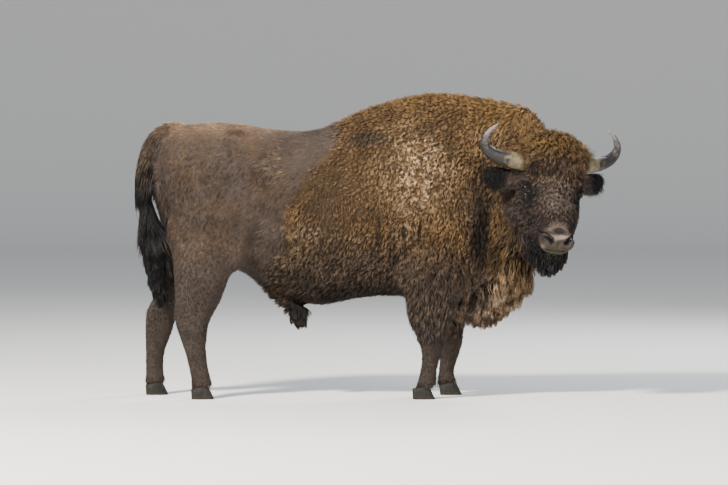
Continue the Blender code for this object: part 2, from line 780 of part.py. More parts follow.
def build():
    head, poll = head_frame(), poll_frame()
    neck_core = trunk_and_neck()
    skull = head_shapes(head, poll)
    legs = forelegs() + hind_legs()
    body = fused("body", [neck_core, belly_fold(), *body_masses(), *legs, *skull], BODY_VOXEL, BODY_EASING)
    face = fused("face", [*skull, neck_core], FACE_VOXEL, FACE_EASING)

    horns = {name: horn(side, poll) for name, side in SIDES.items()}
    ears = {name: without(ear(side, poll), horns[name]) for name, side in SIDES.items()}
    eyes = {name: eye(side, head) for name, side in SIDES.items()}
    for name in SIDES:
        keep("horn_" + name, horns[name], "horn")
        keep("ear_" + name, ears[name], "face_coat")
        keep("eye_" + name, eyes[name], "eye")

    # The head is everything in front of a plane across the nape.
    head_space = block((NAPE, -0.6, -0.8), (0.6, 0.6, 0.8), poll)
    face = largest(boolean(face, head_space, "INTERSECT"))
    body = largest(boolean(body, grown(head_space, CORNER_REACH * GAP), "DIFFERENCE"))
    flesh = face_pieces(face, head, horns, ears, eyes) + body_pieces(body)

    keep("beard", without(thinned(beard(poll), BEARD_TRIANGLES), *flesh), "black_hair")
    keep("throat_mane", without(thinned(throat_mane(), MANE_TRIANGLES), *flesh), "mane")
    keep("sheath_tuft", without(sheath_tuft(), *flesh), "mane")
    whole_tail = without(tail(), *flesh)
    dock, tuft = parted(whole_tail, block((-BEYOND, -1, TAIL_TUFT_TOP), (0, 1, BEYOND)))
    keep("tail", dock, "hind_coat")
    keep("tail_tuft", tuft, "black_hair")


start_clean()
MODEL = collection("wisent")
GUIDES = collection("guides")
MATERIALS = coat_materials()
build()
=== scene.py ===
import math

import bmesh
import bpy
import numpy as np
from bpy.props import FloatProperty, FloatVectorProperty, PointerProperty
from mathutils import Matrix, Vector
from mathutils.bvhtree import BVHTree
from mathutils.kdtree import KDTree


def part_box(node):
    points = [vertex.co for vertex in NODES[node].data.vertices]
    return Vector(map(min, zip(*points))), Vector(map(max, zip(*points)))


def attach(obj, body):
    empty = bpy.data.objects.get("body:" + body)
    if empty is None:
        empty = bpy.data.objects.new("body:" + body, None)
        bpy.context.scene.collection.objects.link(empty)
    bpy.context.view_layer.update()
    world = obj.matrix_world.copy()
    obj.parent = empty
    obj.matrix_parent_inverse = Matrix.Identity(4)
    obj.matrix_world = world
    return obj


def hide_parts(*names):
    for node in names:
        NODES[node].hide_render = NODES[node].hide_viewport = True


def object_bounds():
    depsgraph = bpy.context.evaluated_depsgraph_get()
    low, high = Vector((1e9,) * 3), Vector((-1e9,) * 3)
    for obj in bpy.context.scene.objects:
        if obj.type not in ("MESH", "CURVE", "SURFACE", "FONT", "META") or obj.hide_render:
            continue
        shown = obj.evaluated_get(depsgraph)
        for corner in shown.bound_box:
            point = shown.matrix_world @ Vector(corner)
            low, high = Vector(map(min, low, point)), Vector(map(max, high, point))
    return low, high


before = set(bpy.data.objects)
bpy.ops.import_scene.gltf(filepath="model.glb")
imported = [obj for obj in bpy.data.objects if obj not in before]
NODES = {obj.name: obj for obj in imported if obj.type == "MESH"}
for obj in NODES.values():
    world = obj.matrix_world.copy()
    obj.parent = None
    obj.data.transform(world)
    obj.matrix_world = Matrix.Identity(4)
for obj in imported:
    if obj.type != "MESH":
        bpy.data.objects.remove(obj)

bl_info = {
    "name": "Standing wisent",
    "version": (1, 0, 0),
    "blender": (4, 5, 0),
    "location": "3D View > Sidebar > Wisent",
    "description": "Skin, coat, horns, hooves and eyes of a standing wisent bull",
    "category": "Object",
}

CAD_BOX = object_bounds()

# Sizes are in metres. The body stands with its spine over this line, and the head has a frame of its own:
# origin midway between the eyes, +X to the nose, +Y to the animal's left, +Z out of the forehead.
BODY = Matrix.Translation((0.005, 0.128, 0.0))
POLL = (
    BODY @ Matrix.Translation((0.974, -0.385, 1.190))
    @ Matrix.Rotation(math.radians(-70), 4, "Z") @ Matrix.Rotation(math.radians(-3.3), 4, "X")
)
HEAD_PITCH = math.radians(55)
HEAD = POLL @ Matrix.Rotation(HEAD_PITCH, 4, "Y") @ Matrix.Rotation(math.radians(-3), 4, "Z")
FRAMES = {"body": BODY, "poll": POLL, "head": HEAD}
SIDES = {"right": -1, "left": 1}
LEGS = [f"{leg}_{part}_{side}"
        for leg in ("foreleg", "hindleg") for part in ("upper", "lower") for side in SIDES]
FLESH = ["trunk", "neck", "head", "lower_jaw", "nose", "ear_left", "ear_right", "tail"] + LEGS

# Where the woolly mantle ends on the flank: height, and the place along the trunk at that height.
MANTLE_EDGE = [(0.50, -0.66), (0.70, -0.62), (0.80, -0.56), (0.88, -0.52), (1.02, -0.525), (1.16, -0.47),
               (1.24, -0.42), (1.38, -0.29), (1.50, -0.22), (1.62, -0.26)]

# Regions of the coat: the solids they lie on, how deep the coat is, the length and width of a lock, how
# much it waves, and how far a tip may be drawn to the tip of its clump.
REGIONS = {
    "rump": (("trunk",), 0.011, 0.034, 0.0042, 0.14, 0.028),
    "mantle": (("trunk",), 0.020, 0.034, 0.0044, 0.20, 0.017),
    "belly": (("trunk",), 0.016, 0.050, 0.0060, 0.12, 0.025),
    "neck": (("neck",), 0.024, 0.046, 0.0049, 0.20, 0.024),
    "face": (("head", "lower_jaw"), 0.015, 0.029, 0.0044, 0.22, 0.012),
    "crown": (("head",), 0.034, 0.050, 0.0048, 0.26, 0.018),
    "muzzle": (("nose",), 0.0025, 0.008, 0.0026, 0.02, 0.0),
    "ears": (("ear_left", "ear_right"), 0.007, 0.044, 0.0036, 0.14, 0.014),
    "forearm": (("foreleg_upper_left", "foreleg_upper_right"), 0.016, 0.046, 0.0056, 0.12, 0.025),
    "foreleg": (("foreleg_lower_left", "foreleg_lower_right"), 0.006, 0.020, 0.0038, 0.06, 0.006),
    "thigh": (("hindleg_upper_left", "hindleg_upper_right"), 0.008, 0.026, 0.0044, 0.08, 0.014),
    "hindleg": (("hindleg_lower_left", "hindleg_lower_right"), 0.005, 0.018, 0.0038, 0.05, 0.006),
    "tail": (("tail",), 0.007, 0.060, 0.0055, 0.05, 0.0),
}
DEPTH, LENGTH, WIDTH, WAVE, CLUMP = 1, 2, 3, 4, 5

# Places where the coat changes: frame, centre, half sizes, then how much longer and wider its locks are and
# how much more they wave.
CHANGES = [
    ("body", (0.20, 0.34, 1.33), (0.24, 0.30, 0.30), 0.80, 1.45, 0.30),
    ("body", (0.62, 0.26, 1.44), (0.15, 0.30, 0.24), 0.80, 1.45, 0.30),
    ("body", (-0.62, 0.30, 1.30), (0.12, 0.30, 0.22), 1.70, 1.50, 0.40),
    ("body", (-0.48, 0.33, 0.95), (0.12, 0.30, 0.28), 1.50, 1.35, 0.30),
    ("body", (-0.98, 0.28, 1.02), (0.22, 0.30, 0.22), 1.00, 1.25, 0.25),
    ("body", (0.15, 0.34, 0.78), (0.30, 0.30, 0.18), 1.15, 1.45, 0.20),
    ("body", (0.62, 0.10, 0.80), (0.26, 0.50, 0.18), 1.70, 1.20, 0.0),
    ("body", (0.34, 0.20, 0.62), (0.30, 0.40, 0.26), 1.70, 1.10, 0.0),
    ("head", (0.06, 0.00, 0.08), (0.14, 0.16, 0.12), 1.25, 1.10, 0.10),
    ("head", (0.30, 0.00, -0.03), (0.14, 0.16, 0.13), 0.45, 0.65, 0.0),
    ("head", (0.02, 0.155, 0.00), (0.10, 0.08, 0.08), 0.28, 0.65, 0.0),
    ("head", (0.05, 0.15, -0.17), (0.22, 0.12, 0.10), 2.00, 1.10, 0.0),
    ("poll", (-0.03, 0.17, 0.02), (0.09, 0.08, 0.07), 2.00, 1.10, 0.0),
    ("poll", (-0.01, 0.17, 0.17), (0.09, 0.10, 0.09), 2.10, 1.00, 0.0),
    ("poll", (-0.12, 0.31, 0.06), (0.12, 0.12, 0.12), 1.40, 1.10, 0.1),
    ("body", (0.74, -0.10, 0.84), (0.24, 0.40, 0.15), 2.00, 1.20, 0.0),
    ("body", (-1.34, 0.00, 1.24), (0.10, 0.10, 0.14), 2.40, 1.30, 0.0),
    ("body", (-1.19, 0.10, 0.98), (0.12, 0.20, 0.26), 2.40, 1.20, 0.0),
    ("body", (-0.28, 0.34, 1.18), (0.34, 0.30, 0.34), 0.75, 0.80, -0.08),
]

# The lie of the hair: frame, place and direction. Every row also stands on the other side of the animal.
LIE = [
    ("body", (-1.22, 0.12, 1.32), (-0.35, 0.20, -1.0)), ("body", (-1.05, 0.20, 1.50), (-0.9, 0.35, -0.5)),
    ("body", (-1.15, 0.00, 1.55), (-1.0, 0.0, -0.45)), ("body", (-0.80, 0.24, 1.46), (-0.9, 0.2, -0.45)),
    ("body", (-0.80, 0.00, 1.58), (-1.0, 0.0, 0.0)), ("body", (-0.60, 0.30, 1.15), (-0.75, 0.0, -0.65)),
    ("body", (-0.40, 0.00, 1.54), (-1.0, 0.0, 0.0)), ("body", (-0.35, 0.33, 1.30), (-0.85, 0.1, -0.5)),
    ("body", (-0.40, 0.33, 0.90), (-0.65, 0.0, -0.75)), ("body", (-0.35, 0.22, 0.60), (-0.6, -0.1, -0.8)),
    ("body", (-0.10, 0.00, 1.66), (-1.0, 0.0, -0.25)), ("body", (-0.05, 0.33, 1.35), (-0.75, 0.1, -0.65)),
    ("body", (-0.05, 0.34, 0.95), (-0.55, 0.0, -0.8)), ("body", (-0.05, 0.22, 0.60), (-0.5, -0.1, -0.9)),
    ("body", (0.30, 0.00, 1.76), (-1.0, 0.0, 0.05)), ("body", (0.28, 0.25, 1.55), (-0.6, 0.35, -0.7)),
    ("body", (0.25, 0.33, 1.20), (-0.45, 0.05, -0.85)), ("body", (0.25, 0.30, 0.85), (-0.25, 0.0, -1.0)),
    ("body", (0.55, 0.00, 1.75), (-0.8, 0.0, 0.2)), ("body", (0.55, 0.26, 1.45), (-0.45, 0.1, -0.85)),
    ("body", (0.52, 0.27, 1.05), (-0.25, 0.0, -1.0)), ("body", (0.55, 0.15, 0.70), (-0.25, 0.0, -1.0)),
    ("body", (-1.12, 0.24, 1.00), (-0.25, 0.1, -1.0)), ("body", (-0.90, 0.22, 0.75), (-0.55, 0.0, -0.85)),
    ("body", (-1.15, 0.20, 0.55), (-0.1, 0.0, -1.0)), ("body", (-1.20, 0.18, 0.20), (0.05, 0.0, -1.0)),
    ("body", (0.38, 0.20, 0.50), (-0.15, 0.0, -1.0)), ("body", (0.33, 0.18, 0.18), (0.0, 0.0, -1.0)),
    ("body", (-0.50, 0.00, 0.58), (-0.9, 0.0, -0.5)), ("body", (0.10, 0.00, 0.52), (-0.7, 0.0, -0.8)),
    ("body", (-1.32, 0.00, 1.20), (-0.1, 0.0, -1.0)), ("body", (-1.30, 0.00, 1.45), (-0.7, 0.0, -1.0)),
    ("poll", (-0.20, 0.00, 0.22), (0.3, 0.0, 0.5)), ("poll", (-0.25, 0.20, 0.05), (-0.3, 0.4, -1.0)),
    ("poll", (0.02, 0.00, 0.28), (1.0, 0.0, -0.2)), ("poll", (0.10, 0.00, 0.20), (0.8, 0.0, -1.0)),
    ("poll", (0.05, 0.14, 0.22), (0.7, 0.5, -0.6)), ("poll", (-0.08, 0.16, 0.20), (0.1, 0.9, -0.5)),
    ("head", (0.02, 0.00, 0.13), (1.0, 0.0, -0.1)), ("head", (0.02, 0.12, 0.09), (0.9, 0.35, -0.4)),
    ("head", (0.20, 0.00, 0.06), (1.0, 0.0, -0.1)), ("head", (0.20, 0.11, 0.00), (0.8, 0.3, -0.5)),
    ("head", (0.33, 0.06, -0.05), (0.8, 0.4, -0.4)), ("head", (0.06, 0.17, -0.06), (0.1, 0.1, -1.0)),
    ("head", (-0.06, 0.18, -0.05), (-0.6, 0.1, -0.9)), ("head", (0.20, 0.10, -0.10), (0.2, 0.1, -1.0)),
    ("head", (0.10, 0.00, -0.24), (-0.5, 0.0, -0.8)), ("head", (0.32, 0.00, -0.14), (0.2, 0.0, -1.0)),
    ("poll", (-0.08, 0.25, 0.06), (-0.1, 0.6, -0.8)), ("poll", (-0.11, 0.33, 0.08), (-0.1, 0.3, -1.0)),
    ("poll", (-0.03, 0.17, 0.02), (-0.1, 1.0, -0.5)), ("poll", (-0.01, 0.15, 0.18), (0.2, 1.0, -0.3)),
]

# Coat colours, linear. 'shade' is near black, mostly painted shade in folds, hollows and under the body;
# also a few dark spots of hair.
COLOURS = {
    "wool": (0.104, 0.061, 0.027), "bright": (0.166, 0.094, 0.034), "straw": (0.360, 0.255, 0.155),
    "grey": (0.073, 0.053, 0.043), "pale_grey": (0.205, 0.132, 0.080), "umber": (0.052, 0.035, 0.024),
    "shade": (0.0095, 0.0070, 0.0056), "leg": (0.049, 0.037, 0.030), "tawny": (0.200, 0.150, 0.108),
    "black": (0.0070, 0.0065, 0.0072), "face": (0.035, 0.0250, 0.0205), "grizzle": (0.128, 0.098, 0.080),
    "ochre": (0.092, 0.054, 0.019), "nose": (0.042, 0.032, 0.026), "pink": (0.240, 0.178, 0.148),
    "lip": (0.044, 0.040, 0.022),
}
NOSE_PAD = ((0.328, 0.00, -0.042), (0.106, 0.107, 0.087))
NOSTRIL = [(0.272, 0.104, -0.034), (0.312, 0.082, -0.012), (0.341, 0.046, -0.014)]
NOSTRIL_WIDTH = (0.0075, 0.0160)

# Patches of colour, each over those before it: colour, frame, centre, half sizes, softness and strength.
# Some rows are painted shade or partly a painted highlight, as noted above them.
PATCHES = [
    # Paler grey along the top of the rump: its own colour, partly painted light where the top is lit from
    # above.
    ("pale_grey", "body", (-0.95, 0.00, 1.58), (0.48, 0.30, 0.15), 0.6, 0.75),
    ("umber", "body", (-0.07, 0.25, 1.48), (0.16, 0.15, 0.06), 0.6, 0.95),
    ("wool", "body", (-1.06, 0.25, 1.34), (0.16, 0.22, 0.15), 0.6, 1.0),
    ("umber", "body", (-1.12, 0.25, 1.16), (0.10, 0.22, 0.16), 0.9, 0.4),
    ("umber", "body", (-0.92, 0.25, 1.22), (0.08, 0.22, 0.12), 0.9, 0.4),
    ("wool", "body", (-0.76, 0.25, 1.42), (0.11, 0.22, 0.07), 0.8, 1.0),
    ("wool", "body", (-0.62, 0.30, 1.28), (0.15, 0.30, 0.22), 0.6, 1.0),
    ("umber", "body", (-0.62, 0.30, 1.31), (0.08, 0.30, 0.13), 0.8, 0.8),
    ("shade", "body", (-0.79, 0.18, 1.515), (0.08, 0.10, 0.026), 0.7, 0.6),
    ("umber", "body", (-0.86, 0.30, 0.98), (0.22, 0.25, 0.16), 0.9, 0.6),
    ("wool", "body", (-0.90, 0.30, 1.08), (0.20, 0.25, 0.07), 0.9, 0.8),
    ("wool", "body", (-0.97, 0.30, 0.88), (0.20, 0.25, 0.12), 0.9, 0.8),
    ("wool", "body", (-1.10, 0.25, 0.90), (0.10, 0.20, 0.14), 0.9, 0.9),
    # Painted shade in the hollow of the flank.
    ("shade", "body", (-0.71, 0.30, 0.91), (0.05, 0.30, 0.11), 0.9, 0.45),
    ("bright", "body", (0.72, -0.02, 1.64), (0.26, 0.40, 0.15), 0.7, 0.85),
    ("bright", "body", (0.30, 0.00, 1.72), (0.42, 0.28, 0.09), 0.7, 0.5),
    ("umber", "body", (-0.28, 0.34, 1.06), (0.26, 0.30, 0.34), 0.9, 0.4),
    ("straw", "body", (0.22, 0.34, 1.33), (0.27, 0.30, 0.31), 0.8, 0.95),
    ("straw", "body", (0.62, 0.26, 1.44), (0.10, 0.20, 0.18), 0.8, 0.45),
    ("tawny", "body", (-0.60, 0.30, 1.32), (0.09, 0.30, 0.14), 0.8, 0.45),
    ("tawny", "body", (-0.40, 0.30, 0.92), (0.16, 0.30, 0.08), 0.9, 0.5),
    ("tawny", "body", (0.16, 0.30, 0.95), (0.12, 0.30, 0.16), 0.9, 0.4),
    ("umber", "body", (-0.22, 0.30, 0.66), (0.70, 0.44, 0.26), 0.5, 1.0),
    ("umber", "body", (0.32, 0.30, 0.66), (0.40, 0.44, 0.22), 0.7, 0.95),
    ("umber", "body", (0.62, 0.30, 1.05), (0.17, 0.60, 0.30), 0.9, 0.75),
    # Painted shade in the fold between the neck and the shoulder.
    ("shade", "body", (0.60, 0.28, 0.95), (0.10, 0.22, 0.24), 0.9, 0.5),
    # Painted shade in the vertical creases of the coat behind the elbow.
    ("shade", "body", (0.08, 0.34, 0.86), (0.035, 0.30, 0.16), 0.9, 0.7),
    ("shade", "body", (0.00, 0.34, 0.93), (0.016, 0.30, 0.12), 0.7, 0.8),
    ("shade", "body", (0.15, 0.34, 0.90), (0.014, 0.30, 0.13), 0.7, 0.8),
    ("shade", "body", (0.23, 0.34, 0.96), (0.014, 0.30, 0.09), 0.7, 0.7),
    # Painted shade under the belly.
    ("shade", "body", (-0.15, 0.00, 0.56), (0.75, 0.32, 0.17), 0.7, 0.95),
    # Painted shade in the hollow behind the mane, in front of the shoulder.
    ("shade", "body", (0.57, 0.10, 0.76), (0.09, 0.45, 0.22), 0.7, 0.75),
    ("leg", "body", (-1.02, 0.20, 0.28), (0.52, 0.34, 0.54), 0.45, 1.0),
    ("leg", "body", (0.36, 0.20, 0.16), (0.36, 0.34, 0.62), 0.45, 1.0),
    ("tawny", "body", (0.66, -0.04, 0.56), (0.34, 0.34, 0.22), 0.5, 0.9),
    ("umber", "body", (0.56, -0.04, 0.34), (0.30, 0.34, 0.13), 0.6, 0.8),
    ("umber", "poll", (0.02, 0.00, -0.55), (0.24, 0.30, 0.16), 0.8, 0.7),
    # The sheath tuft: partly its own dark brown, partly painted shade under the belly.
    ("shade", "body", (-0.46, 0.00, 0.46), (0.16, 0.10, 0.15), 0.4, 0.95),
    ("umber", "body", (-1.335, 0.00, 1.30), (0.075, 0.070, 0.24), 0.35, 0.95),
    ("shade", "body", (-1.335, 0.00, 1.18), (0.075, 0.070, 0.16), 0.8, 0.8),
    ("umber", "body", (-1.27, 0.00, 1.51), (0.12, 0.060, 0.080), 0.4, 0.9),
    ("black", "body", (-1.30, 0.00, 0.80), (0.22, 0.15, 0.58), 0.35, 1.0),
    ("umber", "poll", (-0.20, 0.20, -0.08), (0.22, 0.24, 0.30), 0.8, 0.6),
    ("bright", "poll", (-0.17, 0.23, -0.19), (0.16, 0.07, 0.20), 0.9, 0.6),
    # Painted shade on the neck behind the jaw, where the head's shadow falls.
    ("shade", "poll", (-0.22, 0.305, -0.27), (0.18, 0.070, 0.22), 0.7, 0.9),
    ("face", "head", (0.10, 0.00, -0.06), (0.42, 0.27, 0.24), 0.25, 1.0),
    ("face", "poll", (-0.06, 0.18, -0.06), (0.19, 0.16, 0.26), 0.3, 1.0),
    ("umber", "poll", (0.02, 0.00, 0.15), (0.17, 0.25, 0.12), 0.6, 0.9),
    ("ochre", "poll", (-0.04, 0.00, 0.27), (0.17, 0.27, 0.13), 0.6, 0.95),
    ("grizzle", "head", (0.14, 0.00, 0.08), (0.22, 0.13, 0.12), 0.9, 0.55),
    ("black", "head", (0.040, 0.150, 0.008), (0.085, 0.066, 0.062), 0.5, 1.0),
    ("black", "head", (0.060, 0.150, -0.035), (0.09, 0.08, 0.06), 0.8, 0.6),
    ("pink", "head", (0.046, 0.150, -0.018), (0.026, 0.04, 0.007), 0.8, 0.30),
    ("black", "poll", (0.02, 0.00, -0.42), (0.36, 0.34, 0.29), 0.7, 1.0),
    ("black", "poll", (-0.12, 0.34, 0.07), (0.13, 0.125, 0.12), 0.25, 1.0),
    ("nose", "head", *NOSE_PAD, 0.16, 1.0),
    # Paler pink skin on the rims of the pad, partly a painted highlight on these ridges.
    ("pink", "head", (0.262, 0.00, 0.020), (0.046, 0.070, 0.040), 0.7, 0.6),
    ("pink", "head", (0.326, 0.00, 0.006), (0.017, 0.084, 0.036), 0.7, 0.95),
    # The hollow on top of the pad: partly its own dark skin, partly painted shade in the hollow.
    ("black", "head", (0.282, 0.00, 0.014), (0.030, 0.046, 0.045), 0.5, 0.9),
    ("lip", "head", (0.368, 0.00, -0.045), (0.030, 0.045, 0.024), 0.6, 0.5),
    ("pink", "head", (0.345, 0.080, -0.060), (0.020, 0.018, 0.020), 0.8, 0.7),
    # Painted shade in the crease of the mouth.
    ("shade", "head", (0.376, 0.00, -0.062), (0.060, 0.110, 0.008), 0.5, 0.85),
    ("lip", "head", (0.368, 0.00, -0.092), (0.050, 0.080, 0.026), 0.4, 0.95),
    # Painted shade in the openings of the nostrils.
    ("black", "head", NOSTRIL[0], (0.018, 0.016, 0.012), 0.4, 1.0),
    ("black", "head", (0.290, 0.094, -0.024), (0.022, 0.018, 0.016), 0.4, 1.0),
    ("black", "head", NOSTRIL[1], (0.024, 0.020, 0.018), 0.4, 1.0),
    ("black", "head", (0.328, 0.066, -0.012), (0.022, 0.022, 0.018), 0.4, 1.0),
    ("black", "head", NOSTRIL[2], (0.022, 0.022, 0.020), 0.4, 1.0),
]


# ---------------------------------------------------------------- shapes

# How far a copy of a solid grows before it is fused, and the fineness of the skin and of the hanging hair.
SWELL = 0.0016
SKIN_VOXEL, MASS_VOXEL = 0.0130, 0.010
# The distance over which one region of the coat gives way to the next.
REGION_BLEND = 0.014
# Balls that close the holes the horns stand in: place in the poll's frame, and radius.
PLUG_PLACE, PLUG_RADIUS = (-0.040, 0.120, 0.135), 0.056
# Heights between which the coat thins towards the hooves, and the skin drops over them.
ANKLE, HOOF_TOP, HOOF_DROP = (0.085, 0.125), (0.080, 0.105), 0.012

# The eyes: centre in the head's frame, ball, opening of the lids, and the relief of the lids round it.
EYE = np.array((0.010, 0.159, 0.003))
EYE_RADIUS = 0.0235
LID_WIDTH, UPPER_LID, LOWER_LID = 0.0225, 0.0125, 0.0100
LID_THICKNESS, LEAST_LID, SOCKET_DEPTH = 0.0030, 0.004, 0.006
RIM_HEIGHT, CREASE_DEPTH = 0.0026, 0.0028
LID_REACH, BEHIND_EYE = (0.024, 0.050), 0.05
BARE_LIDS = (0.029, 0.019)
IRIS_WIDTH, IRIS_HEIGHT = 0.0175, 0.0150

# The muzzle: the mouth's line in the head's frame, and the depth or height of each form.
MOUTH_BACK = (0.03, -0.178)
MOUTH_SLOPE = (-0.045 + 0.178) / (0.42 - 0.03)
MOUTH_DEPTH, LIP_HEIGHT = 0.006, 0.003
NOSTRIL_DEPTH, NOSTRIL_FLOOR, WING_HEIGHT = 0.024, 0.004, 0.0045
GROOVE_DEPTH, PAD_EDGE_HEIGHT, PAD_HOLLOW, FOLD_HEIGHT = 0.004, 0.005, 0.006, 0.0009


def to_frame(points, name):
    """World points, seen from one of the frames."""
    inverse = np.array(FRAMES[name].inverted())
    return points @ inverse[:3, :3].T + inverse[:3, 3]


def from_frame(points, name):
    matrix = np.array(FRAMES[name])
    return points @ matrix[:3, :3].T + matrix[:3, 3]


def unit(vectors):
    return vectors / np.maximum(np.linalg.norm(vectors, axis=-1, keepdims=True), 1e-9)


def step(low, high, value):
    """Smooth step from 0 at low to 1 at high."""
    t = np.clip((value - low) / (high - low), 0.0, 1.0)
    return t * t * (3 - 2 * t)


def bell(points, centre, radii):
    """1 at the centre of a soft ellipsoid, 0 from its surface out."""
    far = np.linalg.norm((points - np.array(centre)) / np.array(radii), axis=-1)
    return 1 - step(0.0, 1.0, far)


def ridge(value, middle, width):
    """1 at the middle of a band, falling away on both sides."""
    return np.exp(-((value - middle) / width) ** 2)


def to_left(points):
    """Points of both sides of the animal, brought to its left."""
    return np.abs(points * (0, 1, 0)) + points * (1, 0, 1)


def flattened(vectors, normals):
    """The part of each vector that lies along the surface."""
    return vectors - normals * np.sum(vectors * normals, axis=1)[:, None]


def waves(points, scale, seed, count=3):
    """Smooth noise between about -1 and 1, with no grid."""
    rng = np.random.default_rng(seed)
    total = np.zeros((len(points), count))
    for _ in range(7):
        pitch = rng.normal(size=(3, count)) * 2.2 / scale
        total += np.sin(points @ pitch + rng.uniform(0, 2 * np.pi, count))
    return total / 2.6


def mesh_arrays(mesh):
    points = np.empty(len(mesh.vertices) * 3)
    mesh.vertices.foreach_get("co", points)
    normals = np.empty(len(mesh.vertices) * 3)
    mesh.vertices.foreach_get("normal", normals)
    return points.reshape(-1, 3), normals.reshape(-1, 3)


def set_points(mesh, points):
    mesh.vertices.foreach_set("co", np.asarray(points, dtype=np.float32).ravel())
    mesh.update()


def tagged(mesh, label, values):
    """Store a number at each vertex, for the materials to read."""
    attribute = mesh.attributes.new(label, "FLOAT", "POINT")
    attribute.data.foreach_set("value", values.astype(np.float32))


def merged_copy(name, swell=0.0):
    """A copy of a solid's mesh with its loose triangles merged, grown a little all round."""
    bm = bmesh.new()
    bm.from_mesh(NODES[name].data)
    bmesh.ops.remove_doubles(bm, verts=bm.verts, dist=1e-5)
    bm.normal_update()
    for v in bm.verts:
        v.co += v.normal * swell
    mesh = bpy.data.meshes.new(name + "_copy")
    bm.to_mesh(mesh)
    bm.free()
    return mesh


def shown(name, mesh):
    obj = bpy.data.objects.new(name, mesh)
    bpy.context.scene.collection.objects.link(obj)
    return obj


def applied(obj):
    """The mesh with its modifiers applied."""
    graph = bpy.context.evaluated_depsgraph_get()
    mesh = bpy.data.meshes.new_from_object(obj.evaluated_get(graph), depsgraph=graph)
    old = obj.data
    obj.modifiers.clear()
    obj.data = mesh
    bpy.data.meshes.remove(old)
    return obj


def fused(name, nodes, voxel, smoothing, plugs=()):
    """One closed skin round several solids, whose narrow gaps close. Plugs are balls that fill holes."""
    bm = bmesh.new()
    for place, radius in plugs:
        bmesh.ops.create_icosphere(bm, subdivisions=3, radius=radius, matrix=Matrix.Translation(place))
    for node in nodes:
        part = merged_copy(node, SWELL)
        bm.from_mesh(part)
        bpy.data.meshes.remove(part)
    mesh = bpy.data.meshes.new(name)
    bm.to_mesh(mesh)
    bm.free()
    obj = shown(name, mesh)
    remesh = obj.modifiers.new("one skin", "REMESH")
    remesh.mode = "VOXEL"
    remesh.voxel_size = voxel
    relax = obj.modifiers.new("relax", "SMOOTH")
    relax.factor = 0.5
    relax.iterations = smoothing
    return applied(obj)


def keep_largest(bm):
    """Drop the small shells that a remesh may leave."""
    unseen = set(bm.verts)
    shells = []
    while unseen:
        stack = [unseen.pop()]
        shell = set(stack)
        while stack:
            for edge in stack.pop().link_edges:
                for v in edge.verts:
                    if v in unseen:
                        unseen.discard(v)
                        shell.add(v)
                        stack.append(v)
        shells.append(shell)
    shells.sort(key=len)
    for shell in shells[:-1]:
        bmesh.ops.delete(bm, geom=list(shell), context="VERTS")


def refined(bm, inside):
    """Halve the edges of the faces that lie inside a place."""
    wanted = {v for v in bm.verts if inside(v.co)}
    edges = [e for e in bm.edges if e.verts[0] in wanted and e.verts[1] in wanted]
    bmesh.ops.subdivide_edges(bm, edges=edges, cuts=1, use_grid_fill=True, smooth=0.0)


def eased(points, edges, steps, weight):
    """Relax points towards their neighbours, each by its own weight."""
    count = np.bincount(edges.ravel(), minlength=len(points))[:, None]
    for _ in range(steps):
        total = np.zeros_like(points)
        np.add.at(total, edges[:, 0], points[edges[:, 1]])
        np.add.at(total, edges[:, 1], points[edges[:, 0]])
        points = points + (total / np.maximum(count, 1) - points) * 0.5 * weight[:, None]
    return points


def edge_pairs(mesh):
    pairs = np.empty(len(mesh.edges) * 2, dtype=np.int32)
    mesh.edges.foreach_get("vertices", pairs)
    return pairs.reshape(-1, 2)


def region_weights(points):
    """How far each point belongs to each region, summing to 1."""
    body = to_frame(points, "body")
    poll = to_frame(points, "poll")
    far = {}
    for nodes in {row[0] for row in REGIONS.values()}:
        spots, faces = [], []
        for node in nodes:
            mesh = NODES[node].data
            base = len(spots)
            spots.extend(v.co.copy() for v in mesh.vertices)
            faces.extend([base + i for i in p.vertices] for p in mesh.polygons)
        tree = BVHTree.FromPolygons(spots, faces)
        far[nodes] = np.array([tree.find_nearest(Vector(p), 4.0)[3] for p in points])
    distances = np.stack([far[row[0]] for row in REGIONS.values()])
    share = np.exp(-distances / REGION_BLEND)
    rows = dict(zip(REGIONS, share))
    edge_heights, edge_places = zip(*MANTLE_EDGE)
    edge = np.interp(body[:, 2] + 0.03 * waves(points, 0.10, 5, 1)[:, 0], edge_heights, edge_places)
    woolly = step(-0.030, 0.030, body[:, 0] - edge + 0.02 * waves(points, 0.06, 6, 1)[:, 0])
    under = 1 - step(0.56, 0.70, body[:, 2] + 0.35 * np.abs(body[:, 1]))
    crown = step(0.07, 0.14, poll[:, 2] - 0.25 * np.maximum(poll[:, 0], 0) + 0.10 * (poll[:, 0] < -0.1))
    rows["rump"] *= (1 - woolly) * (1 - 0.7 * under)
    rows["mantle"] *= woolly * (1 - under)
    rows["belly"] *= np.maximum(under * (0.3 + 0.7 * woolly), 1e-4)
    rows["face"] *= 1 - crown
    rows["crown"] *= crown
    return share / np.maximum(share.sum(0), 1e-12)


def eye_frame(side):
    """Axes of an eye: towards the nose along the lids, up the forehead, and straight out."""
    out = Vector((0.34, side * 0.86, 0.38)).normalized()
    along = Vector((0.92, 0.0, 0.40))
    along = (along - out * along.dot(out)).normalized()
    up = out.cross(along) * (1 if out.cross(along).z > 0 else -1)
    return np.array(along), np.array(up), np.array(out)


